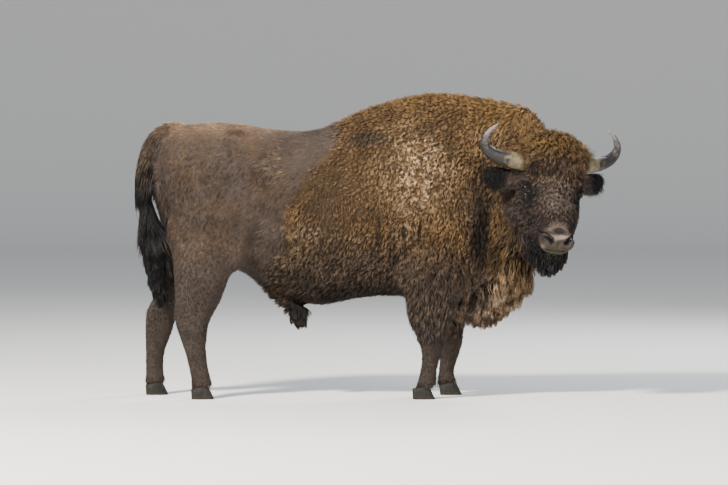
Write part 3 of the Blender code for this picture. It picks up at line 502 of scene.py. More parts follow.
def carve_eyes(head):
    """Sockets, and lids that lie on the ball and meet in two corners. Also how near a lid's rim is."""
    rims = np.zeros(len(head))
    for side in SIDES.values():
        along, up, out = eye_frame(side)
        local = head - EYE * (1, side, 1)
        a, b, c = local @ along, local @ up, local @ out
        near = np.sqrt(a * a + b * b)
        open_height = np.where(b > 0, UPPER_LID, LOWER_LID)
        almond = (np.abs(a) / LID_WIDTH) ** 1.6 + (np.abs(b) / open_height) ** 2
        ball = np.sqrt(np.maximum(EYE_RADIUS ** 2 - near ** 2, 0.0))
        lid = np.maximum(ball + LID_THICKNESS, LEAST_LID)
        lid = lid + RIM_HEIGHT * ridge(almond, 1.5, 0.5)
        lid = lid - CREASE_DEPTH * ridge(almond, 4.2, 1.3) * (b > 0)
        target = np.where(almond < 1.0, ball - SOCKET_DEPTH, lid)
        reach = np.where(c > -BEHIND_EYE, 1 - step(*LID_REACH, near), 0.0)
        moved = c + (target - c) * reach
        head = head + (moved - c)[:, None] * out
        rims += ridge(almond, 1.45, 0.45) * reach
    return head, rims


def carve_muzzle(head, normal):
    """Nostrils, the groove between them, the mouth's line and the wrinkles over the nose."""
    x, y, z = head.T
    side = np.abs(y)
    mirrored = np.stack([x, side, z], 1)
    gap, wide = np.full(len(x), 1.0), np.full(len(x), 1.0)
    narrow, broad = NOSTRIL_WIDTH
    for i, (high, low) in enumerate(zip(NOSTRIL, NOSTRIL[1:])):
        high, low = np.array(high), np.array(low)
        run = np.clip((mirrored - high) @ (low - high) / np.sum((low - high) ** 2), 0, 1)
        away = np.linalg.norm(mirrored - (high + run[:, None] * (low - high)), axis=1)
        closer = away < gap
        gap = np.where(closer, away, gap)
        wide = np.where(closer, narrow + (broad - narrow) * (run + i) / 2, wide)
    gap = np.maximum(gap - NOSTRIL_FLOOR, 0.0)
    hollow = NOSTRIL_DEPTH * (1 - step(0.35, 1.1, gap / wide))
    inward = unit(np.stack([-0.70 * np.ones(len(x)), -0.45 * np.sign(y), -0.45 * np.ones(len(x))], 1))
    push = -WING_HEIGHT * ridge(gap, wide * 1.55, wide * 0.45)
    push += GROOVE_DEPTH * ridge(y, 0.0, 0.005) * step(0.345, 0.365, x) * step(-0.10, -0.06, z)
    pad_edge = PAD_EDGE_HEIGHT * ridge(x - 0.338 + 0.5 * side, 0.0, 0.010)
    push -= pad_edge * step(-0.030, -0.010, z) * (side < 0.12)
    push += PAD_HOLLOW * bell(mirrored, (0.285, 0.0, 0.012), (0.034, 0.055, 0.040))
    from_mouth = z - (MOUTH_BACK[1] + (x - MOUTH_BACK[0]) * MOUTH_SLOPE)
    push += MOUTH_DEPTH * ridge(from_mouth, 0.0, 0.004) * step(0.27, 0.31, x)
    push -= LIP_HEIGHT * ridge(np.abs(from_mouth), 0.011, 0.007) * step(0.29, 0.33, x)
    folds = np.sin(x * 460 + side * 40) * step(0.255, 0.28, x)
    push += FOLD_HEIGHT * (folds * (1 - step(0.325, 0.345, x)) * step(-0.05, -0.01, z))
    return head - normal * push[:, None] + inward * hollow[:, None]


class Skin:
    """Arrays of the finished skin that the coat is rooted on."""

    points = normals = triangles = areas = uvs = weights = None


def build_skin():
    """One skin over all the flesh, set back by the depth of the coat, with the eyes and muzzle carved."""
    x, y, z = PLUG_PLACE
    plugs = [(POLL @ Vector((x, y * side, z)), PLUG_RADIUS) for side in SIDES.values()]
    obj = fused("skin", FLESH, SKIN_VOXEL, 3, plugs)
    bm = bmesh.new()
    bm.from_mesh(obj.data)
    keep_largest(bm)
    inverse = HEAD.inverted()

    def in_face(co):
        p = inverse @ co
        return -0.09 < p.x < 0.50 and abs(p.y) < 0.24 and -0.26 < p.z < 0.16

    def in_detail(co):
        p = inverse @ co
        side = abs(p.y)
        eye = math.dist((p.x, side, p.z), tuple(EYE)) < 0.060
        return eye or (p.x > 0.28 and side < 0.13 and p.z > -0.16)

    refined(bm, in_face)
    bm.verts.ensure_lookup_table()
    refined(bm, in_detail)
    bm.to_mesh(obj.data)
    bm.free()
    mesh = obj.data
    points, normals = mesh_arrays(mesh)
    edges = edge_pairs(mesh)
    points = eased(points, edges, 3, np.ones(len(points)))
    weights = region_weights(points)
    depths = np.array([row[DEPTH] for row in REGIONS.values()]) + SWELL
    depth = depths @ weights
    for _ in range(2):
        depth = eased(depth[:, None], edges, 4, np.ones(len(points)))[:, 0]
    set_points(mesh, points)
    points, normals = mesh_arrays(mesh)
    foot = 1 - step(*ANKLE, points[:, 2])
    depth = depth * (1 - 0.7 * foot)
    points = points - normals * depth[:, None]
    points[:, 2] -= HOOF_DROP * (1 - step(*HOOF_TOP, points[:, 2]))
    points = eased(points, edges, 2, np.ones(len(points)))
    set_points(mesh, points)
    points, normals = mesh_arrays(mesh)
    head = to_frame(points, "head")
    turned = normals @ np.array(HEAD.to_3x3())
    close = (head[:, 0] > -0.15) & (np.abs(head[:, 1]) < 0.30) & (np.abs(head[:, 2]) < 0.30)
    shaped = carve_muzzle(head[close], turned[close])
    shaped, rims = carve_eyes(shaped)
    head[close] = shaped
    rim = np.zeros(len(points))
    rim[close] = rims
    tagged(mesh, "rim", rim)
    # How shallow the coat is, which spares the skin some of its painted shade.
    tagged(mesh, "cover", 1 - step(0.009, 0.016, depth))
    set_points(mesh, from_frame(head, "head"))
    mesh.shade_smooth()
    unwrapped(obj)
    Skin.points, Skin.normals = mesh_arrays(mesh)
    Skin.triangles, Skin.areas, Skin.uvs = triangle_arrays(mesh)
    Skin.weights = weights
    return obj


def unwrapped(obj):
    """A flat map of the shape itself."""
    for other in bpy.context.selected_objects:
        other.select_set(False)
    layer = obj.data.uv_layers.new(name="OFBake")
    obj.data.uv_layers.active = layer
    bpy.context.view_layer.objects.active = obj
    obj.select_set(True)
    bpy.ops.object.mode_set(mode="EDIT")
    bpy.ops.mesh.select_all(action="SELECT")
    bpy.ops.uv.smart_project(angle_limit=math.radians(66), island_margin=0.002)
    bpy.ops.object.mode_set(mode="OBJECT")
    obj.select_set(False)


def triangle_arrays(mesh):
    """The corners, the area and the flat map of each triangle."""
    mesh.calc_loop_triangles()
    count = len(mesh.loop_triangles)
    corners = np.empty(count * 3, dtype=np.int32)
    mesh.loop_triangles.foreach_get("loops", corners)
    vertices = np.empty(count * 3, dtype=np.int32)
    mesh.loop_triangles.foreach_get("vertices", vertices)
    areas = np.empty(count)
    mesh.loop_triangles.foreach_get("area", areas)
    flat = np.empty(len(mesh.loops) * 2)
    mesh.uv_layers["OFBake"].data.foreach_get("uv", flat)
    return vertices.reshape(-1, 3), areas, flat.reshape(-1, 2)[corners].reshape(-1, 3, 2)


# ---------------------------------------------------------------- coat

BOX_LOW, BOX_HIGH = np.array(CAD_BOX[0]) + 0.001, np.array(CAD_BOX[1]) - 0.001
# The place along a lock whose painted shade, darker at the root, the contrast leaves alone, and the shape
# of
# a lock: its taper, how flat it is, how deep it is rooted and how much of the flat map it takes up.
MID_LOCK = 0.6
LOCK_TAPER = ((0, 0.25, 0.6, 1), (0.75, 1.0, 0.72, 0.0))
LOCK_FLATNESS, ROOT_DEPTH, MAP_PATCH = 0.5, 0.06, 0.003
# How much the shade of the locks varies in a region, if not by 1, and how far the locks gather in clumps.
CONTRAST = {"rump": 0.75, "thigh": 0.7, "hindleg": 0.6, "foreleg": 0.5, "forearm": 0.9, "tail": 0.6,
            "ears": 0.5, "mantle": 0.8, "neck": 0.85, "face": 1.25, "crown": 0.8}
GATHER = {"rump": 0.5, "thigh": 0.45, "hindleg": 0.35, "foreleg": 0.35, "tail": 0.5}
USUAL_GATHER, LOCKS_IN_CLUMP = 0.85, 7
# Hanging hair: how far tips are drawn together, how strongly, locks in a clump and rings in a lock.
MASS_REACH, MASS_GATHER, MASS_CLUMP, MASS_RINGS = 0.06, 0.8, 22, 3
# Round the eyes the hair is denser and lies away from them.
DENSER_BY_EYES, BY_EYES = 2.5, 0.09
COMB_STRENGTH, COMB_REACH = 2.2, (0.030, 0.065)
# Locks grow longer down to the hooves, between these heights.
LONGER_BY_HOOF, FETLOCK = 0.9, (0.085, 0.13)
# Swirls in the lie of the hair: size, seed and strength of each, and how far each lock strays by itself.
SWIRLS, STRAY_LOCKS = ((0.16, 11, 0.28), (0.05, 12, 0.22)), 0.14


def lie_of_hair(points, normals):
    """The way hair lies at each point, along the skin, blended from the nearest rows of LIE."""
    places, ways = [], []
    for name, place, way in LIE:
        turn = FRAMES[name].to_3x3()
        for side in (-1, 1):
            places.append(FRAMES[name] @ Vector((place[0], place[1] * side, place[2])))
            ways.append((turn @ Vector((way[0], way[1] * side, way[2]))).normalized())
    total = np.zeros_like(points)
    for place, way in zip(np.array(places), np.array(ways)):
        near = 1.0 / (np.sum((points - place) ** 2, axis=1) + 0.003) ** 2.5
        total += near[:, None] * way
    return unit(flattened(unit(total), normals))


def rooted(count, density, seed, arrays):
    """Random roots on a surface, spread by area and density, with what the surface says there."""
    points, normals, triangles, areas, uvs = arrays
    rng = np.random.default_rng(seed)
    chance = areas * np.clip(density[triangles].mean(1), 0, None)
    chosen = rng.choice(len(triangles), size=count, p=chance / chance.sum())
    a, b = rng.random(count), rng.random(count)
    flip = a + b > 1
    a[flip], b[flip] = 1 - a[flip], 1 - b[flip]
    share = np.stack([1 - a - b, a, b], 1)
    corners = triangles[chosen]
    root = np.einsum("nk,nkd->nd", share, points[corners])
    normal = unit(np.einsum("nk,nkd->nd", share, normals[corners]))
    uv = np.einsum("nk,nkd->nd", share, uvs[chosen])
    return root, normal, uv, corners, share


def lock_mesh(name, root, way, normal, length, width, rise, wave, droop, uv, rings, pull, shared, calm):
    """Closed tapering locks, three-sided, each rooted just under the skin. Returns the mesh."""
    rng = np.random.default_rng(len(root) + rings)
    count = len(root)
    side = unit(np.cross(normal, way))
    phase = rng.uniform(0, 2 * np.pi, count)
    turns = rng.uniform(0.5, 1.1, count)
    steps = np.linspace(0, 1, rings + 1)
    centres = []
    for t in steps:
        lift = rise * (1.7 * t - t * t) / 0.72 - ROOT_DEPTH * (1 - t)
        place = way * (length * t * np.sqrt(np.clip(1 - rise * rise * 0.8, 0.2, 1)))[:, None]
        place = place + normal * (length * lift)[:, None]
        curl = wave * length * t
        place = place + side * (curl * np.sin(phase + 2 * np.pi * turns * t))[:, None]
        place = place + normal * (0.5 * curl * np.cos(phase + 2 * np.pi * turns * t))[:, None]
        place[:, 2] -= droop * length * t * t
        place = place + pull * (t ** 1.6)
        centres.append(root + place)
    centres = np.stack(centres, 1)
    heading = unit(np.gradient(centres, axis=1))
    across = unit(np.cross(np.broadcast_to(normal[:, None], heading.shape), heading) + 1e-6)
    top = unit(np.cross(heading, across))
    girth = width[:, None] * 0.5 * np.interp(steps, *LOCK_TAPER)[None]
    spins = rng.uniform(0, 2 * np.pi, count)
    per = rings * 3 + 1
    verts = np.empty((count, per, 3))
    for k in range(3):
        angle = 2 * np.pi * k / 3 + np.pi / 2 + 0.35 * np.sin(spins)
        ca, sa = np.cos(angle)[:, None, None], np.sin(angle)[:, None, None]
        ring = ca * across[:, :rings] + LOCK_FLATNESS * sa * top[:, :rings]
        verts[:, k:rings * 3:3] = centres[:, :rings] + girth[:, :rings, None] * ring
    verts[:, -1] = centres[:, -1]
    verts = np.clip(verts, BOX_LOW, BOX_HIGH)
    sides = [(k, (k + 1) % 3) for k in range(3)]
    last = (rings - 1) * 3
    faces = [(2, 1, 0)]
    faces += [(r + k, r + n, r + 3 + n, r + 3 + k) for r in range(0, last, 3) for k, n in sides]
    faces += [(last + k, last + n, last + 3) for k, n in sides]
    pattern = np.concatenate([np.array(f) for f in faces])
    loops = (pattern[None] + per * np.arange(count)[:, None]).ravel()
    sizes = np.tile([len(f) for f in faces], count)
    starts = np.concatenate([[0], np.cumsum(sizes)[:-1]])
    mesh = bpy.data.meshes.new(name)
    mesh.vertices.add(count * per)
    mesh.vertices.foreach_set("co", verts.astype(np.float32).ravel())
    mesh.loops.add(len(loops))
    mesh.loops.foreach_set("vertex_index", loops.astype(np.int32))
    mesh.polygons.add(len(sizes))
    mesh.polygons.foreach_set("loop_start", starts.astype(np.int32))
    mesh.update(calc_edges=True)
    # How far along its lock each vertex lies; the coat material darkens the root end as painted shade.
    along = np.concatenate([np.repeat(steps[:rings], 3), [1.0]])
    tagged(mesh, "along", MID_LOCK + (np.tile(along, count) - MID_LOCK) * np.repeat(calm, per))
    tagged(mesh, "lock", np.repeat(shared, per))
    patch = np.stack([np.concatenate([np.tile([0, 0.5, 1], rings), [0.5]]), along], 1) - 0.5
    layer = mesh.uv_layers.new(name="OFBake")
    spots = (uv[:, None] + MAP_PATCH * patch[None]).reshape(-1, 2)[loops]
    layer.data.foreach_set("uv", spots.astype(np.float32).ravel())
    mesh.shade_smooth()
    return mesh


def clumped(root, way, length, size, seed, strength, crowd):
    """How far each tip is drawn to the tip of its clump, and a number that a clump partly shares."""
    rng = np.random.default_rng(seed)
    count = int(max(len(root) / (crowd * 1), 10))
    seeds = rng.choice(len(root), size=min(count, len(root)), replace=False)
    tree = KDTree(len(seeds))
    for i, chosen in enumerate(seeds):
        tree.insert(root[chosen], i)
    tree.balance()
    clump = np.array([tree.find(p)[1] for p in root])
    nearest = seeds[clump]
    own = root + way * length[:, None]
    pull = root[nearest] + way[nearest] * length[nearest][:, None] - own
    keep = np.minimum(1.0, size / np.maximum(np.linalg.norm(pull, axis=1), 1e-6))
    shared = 0.6 * rng.random(len(seeds))[clump] + 0.4 * rng.random(len(root))
    return pull * (strength * keep)[:, None], shared


def bare_places(points):
    """1 where hair grows, 0 on the pad of the nose and inside the lids."""
    head = to_frame(points, "head")
    pad = np.linalg.norm((to_left(head) - NOSE_PAD[0]) / np.array(NOSE_PAD[1]), axis=1)
    grows = (pad > 1.0).astype(float)
    for side in SIDES.values():
        along, up, out = eye_frame(side)
        local = head - EYE * (1, side, 1)
        ring = np.hypot((local @ along) / BARE_LIDS[0], (local @ up) / BARE_LIDS[1])
        grows *= (ring > 1.0) | (np.abs(local @ out) > BEHIND_EYE)
    return grows


def combed_from_eyes(points, way):
    """The lie of the hair, turned away from the eyes close to them."""
    head = to_frame(points, "head")
    turn = np.array(HEAD.to_3x3())
    for side in SIDES.values():
        local = head - EYE * (1, side, 1)
        near = 1 - step(*COMB_REACH, np.linalg.norm(local, axis=1))
        way = way + COMB_STRENGTH * near[:, None] * (unit(local) @ turn.T)
    return way


def changed(points, length, width, wave):
    """Length, width and wave of the locks after the places where the coat changes."""
    for name, centre, radii, longer, wider, wavier in CHANGES:
        share = bell(to_left(to_frame(points, name)), centre, np.array(radii) * 1.3)
        length = length * (1 + (longer - 1) * share)
        width = width * (1 + (wider - 1) * share)
        wave = wave + wavier * share
    return length, width, wave


def region_coat(name, region, count, seed, half, rings, band):
    """One piece of the coat: the locks of a region, on one side of the animal or both, or in a band."""
    density = Skin.weights[list(REGIONS).index(region)] * bare_places(Skin.points)
    body = to_frame(Skin.points, "body")
    density *= 1 + DENSER_BY_EYES * bell(to_left(to_frame(Skin.points, "head")), EYE, BY_EYES)
    if half:
        density = density * (body[:, 1] * half > 0)
    if region == "tail":
        density = density * (Skin.normals[:, 2] > -0.35)
    if band:
        density = density * (body[:, 0] > band[0]) * (body[:, 0] <= band[1])
    arrays = (Skin.points, Skin.normals, Skin.triangles, Skin.areas, Skin.uvs)
    root, normal, uv, corners, share = rooted(count, density, seed, arrays)
    weight = np.einsum("nk,rnk->rn", share, Skin.weights[:, corners])
    weight = weight / weight.sum(0)
    rng = np.random.default_rng(seed + 1)
    depth, usual, width, wave = (
        np.array([row[k] for row in REGIONS.values()]) @ weight for k in (DEPTH, LENGTH, WIDTH, WAVE)
    )
    length, width, wave = changed(root, usual, width, wave)
    by_hoof = 1 - step(*FETLOCK, root[:, 2])
    length = length * rng.uniform(0.7, 1.2, count) * (1 + LONGER_BY_HOOF * by_hoof)
    width = width * rng.uniform(0.7, 1.3, count)
    way = combed_from_eyes(root, lie_of_hair(root, normal))
    swirl = sum(waves(root, scale, number) * strength for scale, number, strength in SWIRLS)
    swirl = swirl + rng.normal(size=(count, 3)) * STRAY_LOCKS
    way = unit(flattened(way + swirl * (0.5 + 1.8 * wave)[:, None], normal))
    gather = GATHER.get(region, USUAL_GATHER)
    pull, shared = clumped(root, way, length, REGIONS[region][CLUMP], seed + 2, gather, LOCKS_IN_CLUMP)
    rise = np.clip(depth / usual * (0.35 + 0.9 * shared), 0.06, 0.75)
    calm = np.array([CONTRAST.get(key, 1.0) for key in REGIONS]) @ weight
    shared = 0.5 + (shared - 0.5) * calm
    root = root - normal * 0.001
    mesh = lock_mesh(name, root, way, normal, length, width, rise, wave, 0.5 * wave, uv,
                     rings, pull, shared, calm)
    obj = shown(name, mesh)
    obj.data.materials.append(MATERIALS["coat"])
    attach(obj, "root")


def floor_under(node, points):
    """The height of a solid's underside below each point, or just below a point that has none."""
    mesh = NODES[node].data
    tree = BVHTree.FromPolygons([v.co for v in mesh.vertices], [tuple(p.vertices) for p in mesh.polygons])
    heights = points[:, 2] - 0.012
    for i, (x, y, z) in enumerate(points):
        hit = tree.ray_cast(Vector((x, y, -0.1)), Vector((0.0, 0.0, 1.0)), z + 0.1)[0]
        if hit:
            heights[i] = min(heights[i], hit.z)
    return heights


def hair_mass(name, node, count, length, width, wave, depth, way, seed,
              spread=0.25, tip=None, cap=0.022):
    """Long hair that hangs as one mass: a core inside the solid, dark with painted shade, and locks out to
    its shape.
    """
    core = fused(name, [node], MASS_VOXEL, 8)
    points, normals = mesh_arrays(core.data)
    under = step(0.25, 0.65, normals[:, 2])
    push = (depth + SWELL) * (1 - under) - cap * under
    set_points(core.data, points - normals * push[:, None])
    core.data.shade_smooth()
    unwrapped(core)
    points, normals = mesh_arrays(core.data)
    triangles, areas, uvs = triangle_arrays(core.data)
    rng = np.random.default_rng(seed)
    density = 1 - step(0.35, 0.75, normals[:, 2])
    root, normal, uv, _, _ = rooted(count, density, seed, (points, normals, triangles, areas, uvs))
    lean = np.array(way)[None] + waves(root, 0.10, seed + 4) * spread + rng.normal(size=(count, 3)) * 0.10
    if tip is not None:
        lean = lean + unit(np.array(tip) - root) * 0.8
    lean = unit(lean)
    facing = np.sum(lean * normal, axis=1)
    flow = unit(lean - normal * (facing * 0.85 * (1 - step(0.2, 0.7, facing)))[:, None])
    out = unit(flattened(normal, flow) + 1e-5)
    size = np.full(count, length)
    _, shared = clumped(root, flow, size, MASS_REACH, seed + 2, MASS_GATHER, MASS_CLUMP)
    size = size * (0.55 + 0.6 * shared)
    room = root[:, 2] - floor_under(node, root)
    size = np.minimum(size, room * (0.85 + 0.3 * shared) + 0.016)
    pull, shared = clumped(root, flow, size, MASS_REACH, seed + 2, MASS_GATHER, MASS_CLUMP)
    rise = np.clip(depth / size * (0.35 + 0.9 * shared), 0.04, 0.5)
    mesh = lock_mesh(name + "_locks", root, flow, out, size, width * rng.uniform(0.6, 1.3, count), rise,
                     np.full(count, wave), np.full(count, 0.15), uv, MASS_RINGS, pull, shared,
                     np.ones(count))
    locks = shown(name + "_locks", mesh)
    for obj in (core, locks):
        obj.data.materials.clear()
        obj.data.materials.append(MATERIALS["coat"])
        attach(obj, "root")
    core.data.materials[0] = MATERIALS["under_coat"]
    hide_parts(node)


# ---------------------------------------------------------------- materials

MATERIALS = {}
# Colours whose patches lie on the locks in tufts.
TUFTED = ("straw", "tawny", "wool")
LID_COLOR = (0.076, 0.061, 0.057)
HORN_COLOURS = [(0.0, (0.150, 0.118, 0.060)), (0.24, (0.105, 0.084, 0.046)), (0.36, (0.012, 0.010, 0.009)),
                (0.64, (0.010, 0.009, 0.009)), (0.78, (0.060, 0.053, 0.050)), (1.0, (0.20, 0.175, 0.16))]
HOOF_COLOURS, DUST = ((0.006, 0.005, 0.0045), (0.017, 0.014, 0.011)), (0.030, 0.024, 0.018)
IRIS_COLOURS = ((0.0034, 0.0018, 0.0014), (0.0090, 0.0042, 0.0028))
PUPIL, EYE_EDGE = (0.0010, 0.0010, 0.0010), (0.0080, 0.0045, 0.0036)


def new_group(name, inputs, outputs):
    group = bpy.data.node_groups.new(name, "ShaderNodeTree")
    for label, kind, value in inputs:
        socket = group.interface.new_socket(name=label, in_out="INPUT", socket_type=kind)
        socket.default_value = value
    for label, kind in outputs:
        group.interface.new_socket(name=label, in_out="OUTPUT", socket_type=kind)
    return group


def add_node(tree, kind, **settings):
    node = tree.nodes.new(kind)
    for key, value in settings.items():
        setattr(node, key, value)
    return node


def math_node(tree, operation, first, second=None):
    node = add_node(tree, "ShaderNodeMath", operation=operation)
    for socket, value in zip(node.inputs, (first, second)):
        if value is None:
            continue
        if isinstance(value, (int, float)):
            socket.default_value = value
        else:
            tree.links.new(value, socket)
    return node.outputs[0]


def product(tree, first, *others):
    for other in others:
        first = math_node(tree, "MULTIPLY", first, other)
    return first


def mixed(tree, share, first, second):
    node = add_node(tree, "ShaderNodeMix", data_type="RGBA")
    node.clamp_factor = True
    sockets = [node.inputs[0], node.inputs[6], node.inputs[7]]
    for socket, value in zip(sockets, (share, first, second)):
        if isinstance(value, (int, float)):
            socket.default_value = value
        elif isinstance(value, tuple):
            socket.default_value = (*value, 1.0)
        else:
            tree.links.new(value, socket)
    return node.outputs[2]


def ranged(tree, value, low, high, to_low=0.0, to_high=1.0, smooth=True):
    node = add_node(tree, "ShaderNodeMapRange", interpolation_type="SMOOTHSTEP" if smooth else "LINEAR")
    tree.links.new(value, node.inputs["Value"])
    node.inputs["From Min"].default_value = low
    node.inputs["From Max"].default_value = high
    node.inputs["To Min"].default_value = to_low
    node.inputs["To Max"].default_value = to_high
    return node.outputs["Result"]


def noise(tree, vector, scale, detail=2.0, rough=0.5):
    node = add_node(tree, "ShaderNodeTexNoise")
    tree.links.new(vector, node.inputs["Vector"])
    node.inputs["Scale"].default_value = scale
    node.inputs["Detail"].default_value = detail
    node.inputs["Roughness"].default_value = rough
    return node


def vector_math(tree, operation, first, second):
    node = add_node(tree, "ShaderNodeVectorMath", operation=operation)
    for socket, value in zip(node.inputs, (first, second)):
        if isinstance(value, tuple):
            socket.default_value = value
        else:
            tree.links.new(value, socket)
    return node.outputs["Value" if operation == "LENGTH" else "Vector"]


def dimmed(tree, color, share):
    """A colour times a number."""
    node = add_node(tree, "ShaderNodeVectorMath", operation="SCALE")
    tree.links.new(color, node.inputs[0])
    tree.links.new(share, node.inputs["Scale"])
    return node.outputs["Vector"]


def stored(tree, label):
    """A number that the mesh holds at each vertex."""
    return add_node(tree, "ShaderNodeAttribute", attribute_name=label).outputs["Fac"]


def bumped(tree, shader, height, strength, distance):
    bump = add_node(tree, "ShaderNodeBump")
    bump.inputs["Strength"].default_value = strength
    bump.inputs["Distance"].default_value = distance
    tree.links.new(height, bump.inputs["Height"])
    tree.links.new(bump.outputs["Normal"], shader.inputs["Normal"])


def in_frame(tree, vector, name):
    """Coordinates in one of the animal's frames, folded so that left and right share the positive side."""
    place = add_node(tree, "ShaderNodeMapping", vector_type="TEXTURE")
    tree.links.new(vector, place.inputs["Vector"])
    matrix = FRAMES[name]
    place.inputs["Location"].default_value = matrix.to_translation()
    place.inputs["Rotation"].default_value = matrix.to_euler()
    parts = add_node(tree, "ShaderNodeSeparateXYZ")
    tree.links.new(place.outputs["Vector"], parts.inputs[0])
    folded = add_node(tree, "ShaderNodeCombineXYZ")
    tree.links.new(parts.outputs[0], folded.inputs[0])
    tree.links.new(math_node(tree, "ABSOLUTE", parts.outputs[1]), folded.inputs[1])
    tree.links.new(parts.outputs[2], folded.inputs[2])
    return folded.outputs[0], parts


def markings_group():
    """The colours of the coat over the whole animal, as soft patches."""
    inputs = [("Vector", "NodeSocketVector", (0, 0, 0)), ("Raggedness", "NodeSocketFloat", 0.045),
              ("Lock", "NodeSocketFloat", 0.5), ("Scatter", "NodeSocketFloat", 0.5)]
    coat = bpy.context.scene.wisent_coat
    for label in COLOURS:
        inputs.append((label, "NodeSocketColor", (*getattr(coat, label), 1.0)))
    group = new_group("Coat markings", inputs, [("Color", "NodeSocketColor"), ("Bare", "NodeSocketFloat")])
    source = group.nodes.new("NodeGroupInput")
    result = group.nodes.new("NodeGroupOutput")
    rag = noise(group, source.outputs["Vector"], 14.0, 3.0, 0.6)
    offset = vector_math(group, "SUBTRACT", rag.outputs["Color"], (0.5, 0.5, 0.5))
    offset = dimmed(group, offset, source.outputs["Raggedness"])
    ragged = vector_math(group, "ADD", source.outputs["Vector"], offset)
    places = {}
    for name in FRAMES:
        places[name], parts = in_frame(group, ragged, name)
        if name == "body":
            body_parts = parts
    low, high = MANTLE_EDGE[0][0], MANTLE_EDGE[-1][0]
    height = ranged(group, body_parts.outputs[2], low, high, smooth=False)
    curve = add_node(group, "ShaderNodeFloatCurve")
    points = curve.mapping.curves[0].points
    for i, (z, x) in enumerate(MANTLE_EDGE):
        at = ((z - low) / (high - low), x + 1.0)
        if i == 0:
            points[0].location = at
        elif i == len(MANTLE_EDGE) - 1:
            points[-1].location = at
        else:
            points.new(*at)
    curve.mapping.update()
    group.links.new(height, curve.inputs["Value"])
    edge = math_node(group, "ADD", body_parts.outputs[0], 1.0)
    edge = math_node(group, "SUBTRACT", edge, curve.outputs[0])
    stray = math_node(group, "SUBTRACT", source.outputs["Lock"], 0.5)
    stray = product(group, stray, source.outputs["Scatter"])
    edge = math_node(group, "ADD", edge, product(group, stray, 0.08))
    color = mixed(group, ranged(group, edge, -0.04, 0.04), source.outputs["grey"], source.outputs["wool"])
    speck = noise(group, source.outputs["Vector"], 34.0, 2.0, 0.6)
    tufts = product(group, ranged(group, speck.outputs[0], 0.45, 0.57, 0.10, 1.0),
                    ranged(group, source.outputs["Lock"], 0.30, 0.60, 0.15, 1.0))
    bare = None
    for label, name, centre, radii, soft, strength in PATCHES:
        apart = vector_math(group, "SUBTRACT", places[name], centre)
        apart = vector_math(group, "DIVIDE", apart, radii)
        far = math_node(group, "ADD", vector_math(group, "LENGTH", apart, (0, 0, 0)), stray)
        mask = ranged(group, far, 1 + soft * 0.5, 1 - soft, 0.0, strength)
        if label in TUFTED:
            mask = product(group, mask, tufts)
        color = mixed(group, mask, color, source.outputs[label])
        if label == "nose":
            bare = mask
    group.links.new(color, result.inputs["Color"])
    group.links.new(bare, result.inputs["Bare"])
    return group


def material(name):
    made = bpy.data.materials.new(name)
    made.use_nodes = True
    tree = made.node_tree
    shader = tree.nodes["Principled BSDF"]
    coordinates = add_node(tree, "ShaderNodeTexCoord")
    return made, tree, shader, coordinates.outputs["Object"]


def use_markings(tree, where):
    node = add_node(tree, "ShaderNodeGroup")
    node.node_tree = bpy.data.node_groups["Coat markings"]
    tree.links.new(where, node.inputs["Vector"])
    return node


def coat_material():
    made, tree, shader, where = material("coat hair")
    marks = use_markings(tree, where)
    lock = stored(tree, "lock")
    tree.links.new(lock, marks.inputs["Lock"])
    marks.inputs["Scatter"].default_value = 0.5
    streak = noise(tree, where, 260.0, 2.0, 0.6)
    cloud = noise(tree, where, 8.0, 4.0, 0.7)
    mottle = noise(tree, where, 42.0, 2.0, 0.7)
    # Each lock is darker towards its root, painted shade among the locks; its own tone, streaks, mottling
    # and clouds vary at random.
    lightness = product(
        tree,
        ranged(tree, lock, 0.1, 0.9, 0.50, 1.50, False),
        ranged(tree, stored(tree, "along"), 0.0, 0.8, 0.42, 1.18),
        ranged(tree, streak.outputs[0], 0.3, 0.7, 0.80, 1.18, False),
        ranged(tree, mottle.outputs[0], 0.3, 0.7, 0.72, 1.28, False),
        ranged(tree, cloud.outputs[0], 0.35, 0.65, 0.58, 1.42, False),
    )
    tree.links.new(dimmed(tree, marks.outputs["Color"], lightness), shader.inputs["Base Color"])
    shader.inputs["Roughness"].default_value = 0.62
    shader.inputs["Specular IOR Level"].default_value = 0.10
    shader.inputs["Sheen Weight"].default_value = 0.02
    return made


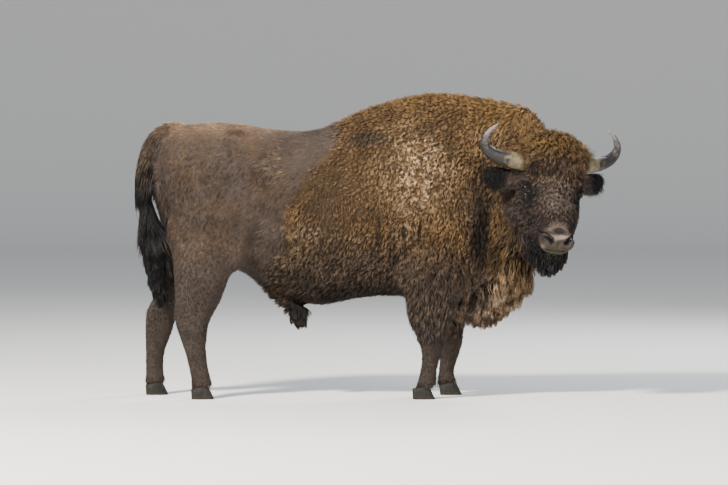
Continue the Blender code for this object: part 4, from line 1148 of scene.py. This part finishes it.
def under_material(name, shade):
    """The skin with its short under-wool: the same markings, darkened as painted shade where the coat is
    deep, with the grain of flat hair.
    """
    made, tree, shader, where = material(name)
    marks = use_markings(tree, where)
    marks.inputs["Lock"].default_value = 0.42
    marks.inputs["Scatter"].default_value = 0.0
    fine = noise(tree, where, 190.0, 3.0, 0.65)
    broad = noise(tree, where, 12.0, 2.0, 0.5)
    # Painted shade darkens the skin under deep coat, less where the coat is shallow and not on bare skin.
    smooth = math_node(tree, "MAXIMUM", marks.outputs["Bare"], product(tree, stored(tree, "cover"), 0.4))
    lightness = product(
        tree,
        ranged(tree, fine.outputs[0], 0.3, 0.7, 0.45, 1.30, False),
        ranged(tree, broad.outputs[0], 0.3, 0.7, 0.75, 1.25, False),
        ranged(tree, smooth, 0.0, 1.0, shade, 1.0, False),
    )
    rim = ranged(tree, stored(tree, "rim"), 0.2, 0.9, 0.0, 0.8)
    colored = mixed(tree, rim, marks.outputs["Color"], LID_COLOR)
    tree.links.new(dimmed(tree, colored, lightness), shader.inputs["Base Color"])
    pores = add_node(tree, "ShaderNodeTexVoronoi", feature="DISTANCE_TO_EDGE")
    tree.links.new(where, pores.inputs["Vector"])
    pores.inputs["Scale"].default_value = 210.0
    creases = ranged(tree, pores.outputs["Distance"], 0.0, 0.25, 0.0, 1.0)
    relief = product(tree, creases, marks.outputs["Bare"])
    relief = math_node(tree, "ADD", relief, fine.outputs[0])
    bumped(tree, shader, relief, 0.6, 0.002)
    rough = ranged(tree, marks.outputs["Bare"], 0.0, 1.0, 0.8, 0.50, False)
    tree.links.new(rough, shader.inputs["Roughness"])
    shader.inputs["Specular IOR Level"].default_value = 0.14
    return made


def horn_material():
    """Yellow-grey ringed base, a dark mottled middle and a pale worn tip."""
    made, tree, shader, where = material("horn")
    rag = noise(tree, where, 30.0, 4.0, 0.6)
    stray = product(tree, math_node(tree, "SUBTRACT", rag.outputs[0], 0.5), 0.6)
    place = math_node(tree, "ADD", stored(tree, "along"), stray)
    ramp = add_node(tree, "ShaderNodeValToRGB")
    elements = ramp.color_ramp.elements
    for i, (at, color) in enumerate(HORN_COLOURS):
        element = elements[i] if i < 2 else elements.new(at)
        element.position = at
        element.color = (*color, 1.0)
    tree.links.new(place, ramp.inputs[0])
    scratch = noise(tree, where, 120.0, 5.0, 0.7)
    lightness = ranged(tree, scratch.outputs[0], 0.35, 0.65, 0.35, 1.5, False)
    tree.links.new(dimmed(tree, ramp.outputs[0], lightness), shader.inputs["Base Color"])
    bumped(tree, shader, scratch.outputs[0], 0.5, 0.0015)
    shader.inputs["Roughness"].default_value = 0.55
    shader.inputs["Specular IOR Level"].default_value = 0.35
    return made


def hoof_material():
    """Dark horn with fine rings round it and some dust at the sole."""
    made, tree, shader, where = material("hoof horn")
    parts = add_node(tree, "ShaderNodeSeparateXYZ")
    tree.links.new(where, parts.inputs[0])
    grain = noise(tree, where, 60.0, 5.0, 0.65)
    height = math_node(tree, "ADD", parts.outputs[2], product(tree, grain.outputs[0], 0.01))
    ring = math_node(tree, "SINE", product(tree, height, 700.0))
    color = mixed(tree, ranged(tree, grain.outputs[0], 0.35, 0.65), *HOOF_COLOURS)
    dust = ranged(tree, parts.outputs[2], 0.0, 0.030, 0.35, 0.0)
    tree.links.new(mixed(tree, dust, color, DUST), shader.inputs["Base Color"])
    relief = math_node(tree, "ADD", product(tree, ring, 0.4), grain.outputs[0])
    bumped(tree, shader, relief, 0.45, 0.0015)
    shader.inputs["Roughness"].default_value = 0.6
    shader.inputs["Specular IOR Level"].default_value = 0.2
    return made


def eye_material():
    """A wet dark brown ball with a wide level pupil."""
    made, tree, shader, where = material("eye")
    far = stored(tree, "gaze")
    threads = noise(tree, where, 900.0, 2.0, 0.6)
    iris = mixed(tree, ranged(tree, threads.outputs[0], 0.3, 0.7), *IRIS_COLOURS)
    color = mixed(tree, ranged(tree, far, 0.42, 0.50), PUPIL, iris)
    color = mixed(tree, ranged(tree, far, 0.95, 1.15), color, EYE_EDGE)
    tree.links.new(color, shader.inputs["Base Color"])
    shader.inputs["Roughness"].default_value = 0.22
    shader.inputs["Specular IOR Level"].default_value = 0.12
    shader.inputs["Coat Weight"].default_value = 0.12
    shader.inputs["Coat Roughness"].default_value = 0.05
    return made


def make_materials():
    markings_group()
    MATERIALS["coat"] = coat_material()
    # 0.38 is how dark painted shade makes the skin under deep coat and the cores of hanging hair.
    MATERIALS["under_coat"] = under_material("skin and under wool", 0.38)
    MATERIALS["horn"] = horn_material()
    MATERIALS["hoof"] = hoof_material()
    MATERIALS["eye"] = eye_material()


# ---------------------------------------------------------------- horns, eyes and hooves

# The middle line of a horn in the poll's frame, from the root to the tip, and its radius at each place.
HORN_PATH = [
    (-0.030, 0.135, 0.138, 0.046), (-0.002, 0.205, 0.150, 0.052), (-0.032, 0.308, 0.163, 0.041),
    (-0.053, 0.382, 0.200, 0.0335), (-0.044, 0.406, 0.252, 0.0245), (-0.030, 0.386, 0.302, 0.0175),
    (-0.024, 0.358, 0.332, 0.0105), (-0.024, 0.328, 0.354, 0.003),
]
RING_HEIGHT, RING_SPACING = 0.0011, 0.0125


def build_horn(side_name):
    """The horn over its own solid, smooth, with growth rings that fade towards the tip."""
    node = f"horn_{side_name}"
    obj = shown(f"horn_shell_{side_name}", merged_copy(node))
    smooth = obj.modifiers.new("smooth", "SUBSURF")
    smooth.levels = smooth.render_levels = 3
    applied(obj)
    points, normals = mesh_arrays(obj.data)
    path = np.array([(x, y * SIDES[side_name], z) for x, y, z, _ in HORN_PATH])
    fine = np.linspace(0, len(path) - 1, 200)
    line = np.stack([np.interp(fine, range(len(path)), path[:, k]) for k in range(3)], 1)
    thick = np.interp(fine, range(len(path)), [row[3] for row in HORN_PATH])
    local = to_frame(points, "poll")
    nearest = np.linalg.norm(local[:, None] - line[None], axis=2).argmin(1)
    run = np.concatenate([[0], np.cumsum(np.linalg.norm(np.diff(line, axis=0), axis=1))])
    place = run[nearest]
    share = place / run[-1]
    fade = 1 - step(0.35, 0.75, share)
    wander = waves(local, 0.03, 40, 1)[:, 0] * 0.8
    rings = RING_HEIGHT * np.sin(place / RING_SPACING * 2 * np.pi + wander) * fade
    rough = 0.0007 * waves(local, 0.02, 41, 1)[:, 0] * (0.4 + 0.6 * fade)
    room = np.clip(thick[nearest] / 0.03, 0.1, 1)
    set_points(obj.data, points + normals * ((rings + rough) * room - 0.0012)[:, None])
    tagged(obj.data, "along", share)
    obj.data.shade_smooth()
    obj.data.materials.clear()
    obj.data.materials.append(MATERIALS["horn"])
    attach(obj, "root")
    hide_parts(node)


def build_eye(side_name):
    """The ball of an eye, which holds at each vertex how far that is from the middle of the gaze."""
    side = SIDES[side_name]
    along, up, out = eye_frame(side)
    bm = bmesh.new()
    bmesh.ops.create_uvsphere(bm, u_segments=40, v_segments=24, radius=EYE_RADIUS)
    if np.dot(np.cross(along, up), out) < 0:
        bmesh.ops.reverse_faces(bm, faces=bm.faces)
    mesh = bpy.data.meshes.new(f"eyeball_{side_name}")
    bm.to_mesh(mesh)
    bm.free()
    points, _ = mesh_arrays(mesh)
    turned = points[:, :1] * along + points[:, 1:2] * up + points[:, 2:] * out
    a, b, c = points.T
    gaze = np.where(c > 0, np.sqrt((a / IRIS_WIDTH) ** 2 + (b / IRIS_HEIGHT) ** 2), 2.0)
    set_points(mesh, from_frame(turned + EYE * (1, side, 1), "head"))
    tagged(mesh, "gaze", gaze)
    mesh.shade_smooth()
    obj = shown(f"eyeball_{side_name}", mesh)
    obj.data.materials.append(MATERIALS["eye"])
    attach(obj, "root")
    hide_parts(f"eye_{side_name}")


def build_hoof(node):
    """A claw over its own solid, with worn edges."""
    obj = shown(node.replace("hoof_", "claw_"), merged_copy(node))
    bevel = obj.modifiers.new("worn edges", "BEVEL")
    bevel.width = 0.003
    bevel.segments = 2
    bevel.angle_limit = math.radians(28)
    applied(obj)
    obj.data.shade_smooth()
    obj.data.materials.clear()
    obj.data.materials.append(MATERIALS["hoof"])
    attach(obj, "root")
    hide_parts(node)


# ---------------------------------------------------------------- stage

FLOOR_RADIUS, WALL_HEIGHT, FLOOR_SIDES = 28.0, 6.0, 96
CAMERA_PLACE, CAMERA_TARGET = (-0.075, -19.872, 1.45), (-0.075, 0.128, 0.8829)
# The power of the two lesser lights, as a share of the key light's.
LESSER_LIGHT = 0.16


def light(name, place, target, size, power, color):
    """A round soft light, turned to its target."""
    data = bpy.data.lights.new(name, "AREA")
    data.shape = "DISK"
    data.size = size
    data.energy = power
    data.color = color
    obj = bpy.data.objects.new(name, data)
    obj.location = place
    obj.rotation_euler = (Vector(target) - Vector(place)).to_track_quat("-Z", "Y").to_euler()
    bpy.context.scene.collection.objects.link(obj)


def build_stage():
    """Soft lights, camera and floor."""
    settings = bpy.context.scene.wisent_stage
    world = bpy.data.worlds.new("studio")
    bpy.context.scene.world = world
    world.use_nodes = True
    background = world.node_tree.nodes["Background"]
    background.inputs["Color"].default_value = (0.80, 0.86, 0.95, 1)
    background.inputs["Strength"].default_value = settings.fill
    middle = (0.0, 0.0, 0.9)
    light("key", (-5.5, -7.0, 7.5), middle, 1.6, settings.key, (1.0, 0.95, 0.86))
    light("rim", (4.0, 6.0, 6.0), middle, 3.0, settings.key * LESSER_LIGHT, (0.9, 0.95, 1.0))
    light("front", (5.5, -8.0, 3.0), middle, 4.0, settings.key * LESSER_LIGHT, (1.0, 0.98, 0.95))
    camera = bpy.data.cameras.new("camera")
    camera.lens = settings.lens
    camera.sensor_width = 36.0
    camera.clip_end = 200.0
    obj = bpy.data.objects.new("camera", camera)
    place, target = Vector(CAMERA_PLACE), Vector(CAMERA_TARGET)
    obj.location = place
    obj.rotation_euler = (target - place).to_track_quat("-Z", "Y").to_euler()
    bpy.context.scene.collection.objects.link(obj)
    bpy.context.scene.camera = obj
    build_floor()


def build_floor():
    """A wide round floor whose edge bends up into a low wall."""
    bm = bmesh.new()
    bends = [(math.sin(k / 10 * math.pi / 2), 1 - math.cos(k / 10 * math.pi / 2)) for k in range(11)]
    profile = [(6.0, 0.0), (16.0, 0.0)]
    profile += [(FLOOR_RADIUS + WALL_HEIGHT * out, WALL_HEIGHT * up) for out, up in bends]
    angles = np.linspace(0, 2 * math.pi, FLOOR_SIDES + 1)[:-1]
    rings = [[bm.verts.new((r * math.cos(a), r * math.sin(a), z)) for a in angles] for r, z in profile]
    bm.faces.new(rings[0])
    for low, high in zip(rings, rings[1:]):
        for k in range(FLOOR_SIDES):
            n = (k + 1) % FLOOR_SIDES
            bm.faces.new((low[k], high[k], high[n], low[n]))
    mesh = bpy.data.meshes.new("floor")
    bm.to_mesh(mesh)
    bm.free()
    mesh.shade_smooth()
    floor = shown("floor", mesh)
    made, _, shader, _ = material("pale floor")
    shader.inputs["Base Color"].default_value = (0.68, 0.67, 0.65, 1)
    shader.inputs["Roughness"].default_value = 0.9
    mesh.materials.append(made)


# ---------------------------------------------------------------- operators

def coat_colour(label, value):
    """The setting for one of the coat's colours."""
    return FloatVectorProperty(
        name=label.capitalize(), description=f"Colour of the {label} parts of the coat",
        subtype="COLOR", size=3, min=0.0, max=1.0, default=value,
    )


class WisentCoatSettings(bpy.types.PropertyGroup):
    """Colours of the coat."""

    __annotations__ = {name: coat_colour(name.replace("_", " "), value) for name, value in COLOURS.items()}


class WisentStageSettings(bpy.types.PropertyGroup):
    """Light and lens of the studio."""

    key: FloatProperty(name="Key light", description="Power of the main light",
                       default=4300.0, min=0.0, unit="POWER")
    fill: FloatProperty(name="Fill light", description="Strength of the light from all round",
                        default=0.55, min=0.0)
    lens: FloatProperty(name="Lens", description="Focal length of the camera",
                        default=173.08, min=10.0, unit="CAMERA")


class WISENT_OT_stage(bpy.types.Operator):
    """Build the floor, lights and camera"""

    bl_idname = "wisent.stage"
    bl_label = "Stage"

    def execute(self, context):
        build_stage()
        return {"FINISHED"}


class WISENT_OT_materials(bpy.types.Operator):
    """Make the materials that the pieces share"""

    bl_idname = "wisent.materials"
    bl_label = "Materials"

    def execute(self, context):
        make_materials()
        return {"FINISHED"}


class WISENT_OT_skin(bpy.types.Operator):
    """Build the one skin over all the flesh"""

    bl_idname = "wisent.skin"
    bl_label = "Skin"

    def execute(self, context):
        obj = build_skin()
        obj.data.materials.clear()
        obj.data.materials.append(MATERIALS["under_coat"])
        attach(obj, "root")
        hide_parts(*FLESH)
        return {"FINISHED"}


# Pieces of the coat: name, region, side (0 for both), locks, rings to a lock, band along the body, slot.
COAT = [
    ("coat_rump_right", "rump", -1, 19000, 1, None, "hind_coat"),
    ("coat_rump_left", "rump", 1, 19000, 1, None, "hind_coat"),
    ("coat_shoulder_right", "mantle", -1, 14000, 2, (0.10, 2.0), "cape"),
    ("coat_shoulder_left", "mantle", 1, 14000, 2, (0.10, 2.0), "cape"),
    ("coat_ribs_right", "mantle", -1, 11500, 2, (-2.0, 0.10), "cape"),
    ("coat_ribs_left", "mantle", 1, 11500, 2, (-2.0, 0.10), "cape"),
    ("coat_belly", "belly", 0, 5000, 2, None, "cape"),
    ("coat_neck", "neck", 0, 12000, 2, None, "mane"),
    ("coat_crown", "crown", 0, 8500, 2, None, "mane"),
    ("coat_face", "face", 0, 16000, 2, None, "face_coat"),
    ("coat_muzzle", "muzzle", 0, 4000, 1, None, "face_coat"),
    ("coat_ears", "ears", 0, 3300, 2, None, "face_coat"),
    ("coat_forearms", "forearm", 0, 7000, 2, None, "leg_coat"),
    ("coat_forelegs", "foreleg", 0, 9000, 1, None, "leg_coat"),
    ("coat_thighs", "thigh", 0, 16000, 1, None, "leg_coat"),
    ("coat_hindlegs", "hindleg", 0, 9000, 1, None, "leg_coat"),
    ("coat_tail", "tail", 0, 1800, 2, None, "hind_coat"),
]


class WISENT_OT_coat(bpy.types.Operator):
    """Grow the coat, region by region"""

    bl_idname = "wisent.coat"
    bl_label = "Coat"

    def execute(self, context):
        for seed, (name, region, half, count, rings, band, slot) in enumerate(COAT):
            region_coat(name, region, count, 100 + 10 * seed, half, rings, band)
        return {"FINISHED"}


class WISENT_OT_long_hair(bpy.types.Operator):
    """Hang the mane, beard and tufts"""

    bl_idname = "wisent.long_hair"
    bl_label = "Long hair"

    def execute(self, context):
        hair_mass("mane", "throat_mane", 5200, 0.15, 0.0062, 0.12, 0.024, (-0.12, 0.0, -1.0), 300)
        beard_tip = POLL @ Vector((-0.02, -0.02, -0.52))
        hair_mass("chin_beard", "beard", 2800, 0.11, 0.007, 0.08, 0.018, (-0.05, 0.0, -1.0), 310,
                  tip=beard_tip)
        hair_mass("tail_brush", "tail_tuft", 3000, 0.24, 0.0062, 0.08, 0.012, (0.14, 0.0, -1.0), 320,
                  cap=-0.004)
        low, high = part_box("sheath_tuft")
        tuft_tip = (low[0] * 0.3 + high[0] * 0.7, (low[1] + high[1]) / 2, low[2] - 0.04)
        hair_mass("belly_tuft", "sheath_tuft", 500, 0.08, 0.005, 0.03, 0.012, (0.3, 0.0, -1.0), 330,
                  spread=0.04, tip=tuft_tip)
        return {"FINISHED"}


class WISENT_OT_horns(bpy.types.Operator):
    """Build both horns"""

    bl_idname = "wisent.horns"
    bl_label = "Horns"

    def execute(self, context):
        for side_name in SIDES:
            build_horn(side_name)
        return {"FINISHED"}


class WISENT_OT_eyes(bpy.types.Operator):
    """Build both eyes"""

    bl_idname = "wisent.eyes"
    bl_label = "Eyes"

    def execute(self, context):
        for side_name in SIDES:
            build_eye(side_name)
        return {"FINISHED"}


class WISENT_OT_hooves(bpy.types.Operator):
    """Finish the eight claws"""

    bl_idname = "wisent.hooves"
    bl_label = "Hooves"

    def execute(self, context):
        for node in sorted(NODES):
            if node.startswith("hoof_"):
                build_hoof(node)
        return {"FINISHED"}


class WISENT_PT_panel(bpy.types.Panel):
    """Builds the wisent piece by piece"""

    bl_idname = "WISENT_PT_panel"
    bl_label = "Wisent"
    bl_space_type = "VIEW_3D"
    bl_region_type = "UI"
    bl_category = "Wisent"

    def draw(self, context):
        for step_name in STEPS:
            self.layout.operator(f"wisent.{step_name}")
        for key in COLOURS:
            self.layout.prop(context.scene.wisent_coat, key)
        for key in ("key", "fill", "lens"):
            self.layout.prop(context.scene.wisent_stage, key)


STEPS = ["stage", "materials", "skin", "coat", "long_hair", "horns", "eyes", "hooves"]
CLASSES = [
    WisentCoatSettings, WisentStageSettings, WISENT_OT_stage, WISENT_OT_materials, WISENT_OT_skin,
    WISENT_OT_coat, WISENT_OT_long_hair, WISENT_OT_horns, WISENT_OT_eyes, WISENT_OT_hooves, WISENT_PT_panel,
]


def register():
    for made in CLASSES:
        bpy.utils.register_class(made)
    bpy.types.Scene.wisent_coat = PointerProperty(type=WisentCoatSettings)
    bpy.types.Scene.wisent_stage = PointerProperty(type=WisentStageSettings)


def unregister():
    del bpy.types.Scene.wisent_stage
    del bpy.types.Scene.wisent_coat
    for made in reversed(CLASSES):
        bpy.utils.unregister_class(made)


def main():
    register()
    for name in STEPS:
        getattr(bpy.ops.wisent, name)()


if __name__ == "__main__":
    main()
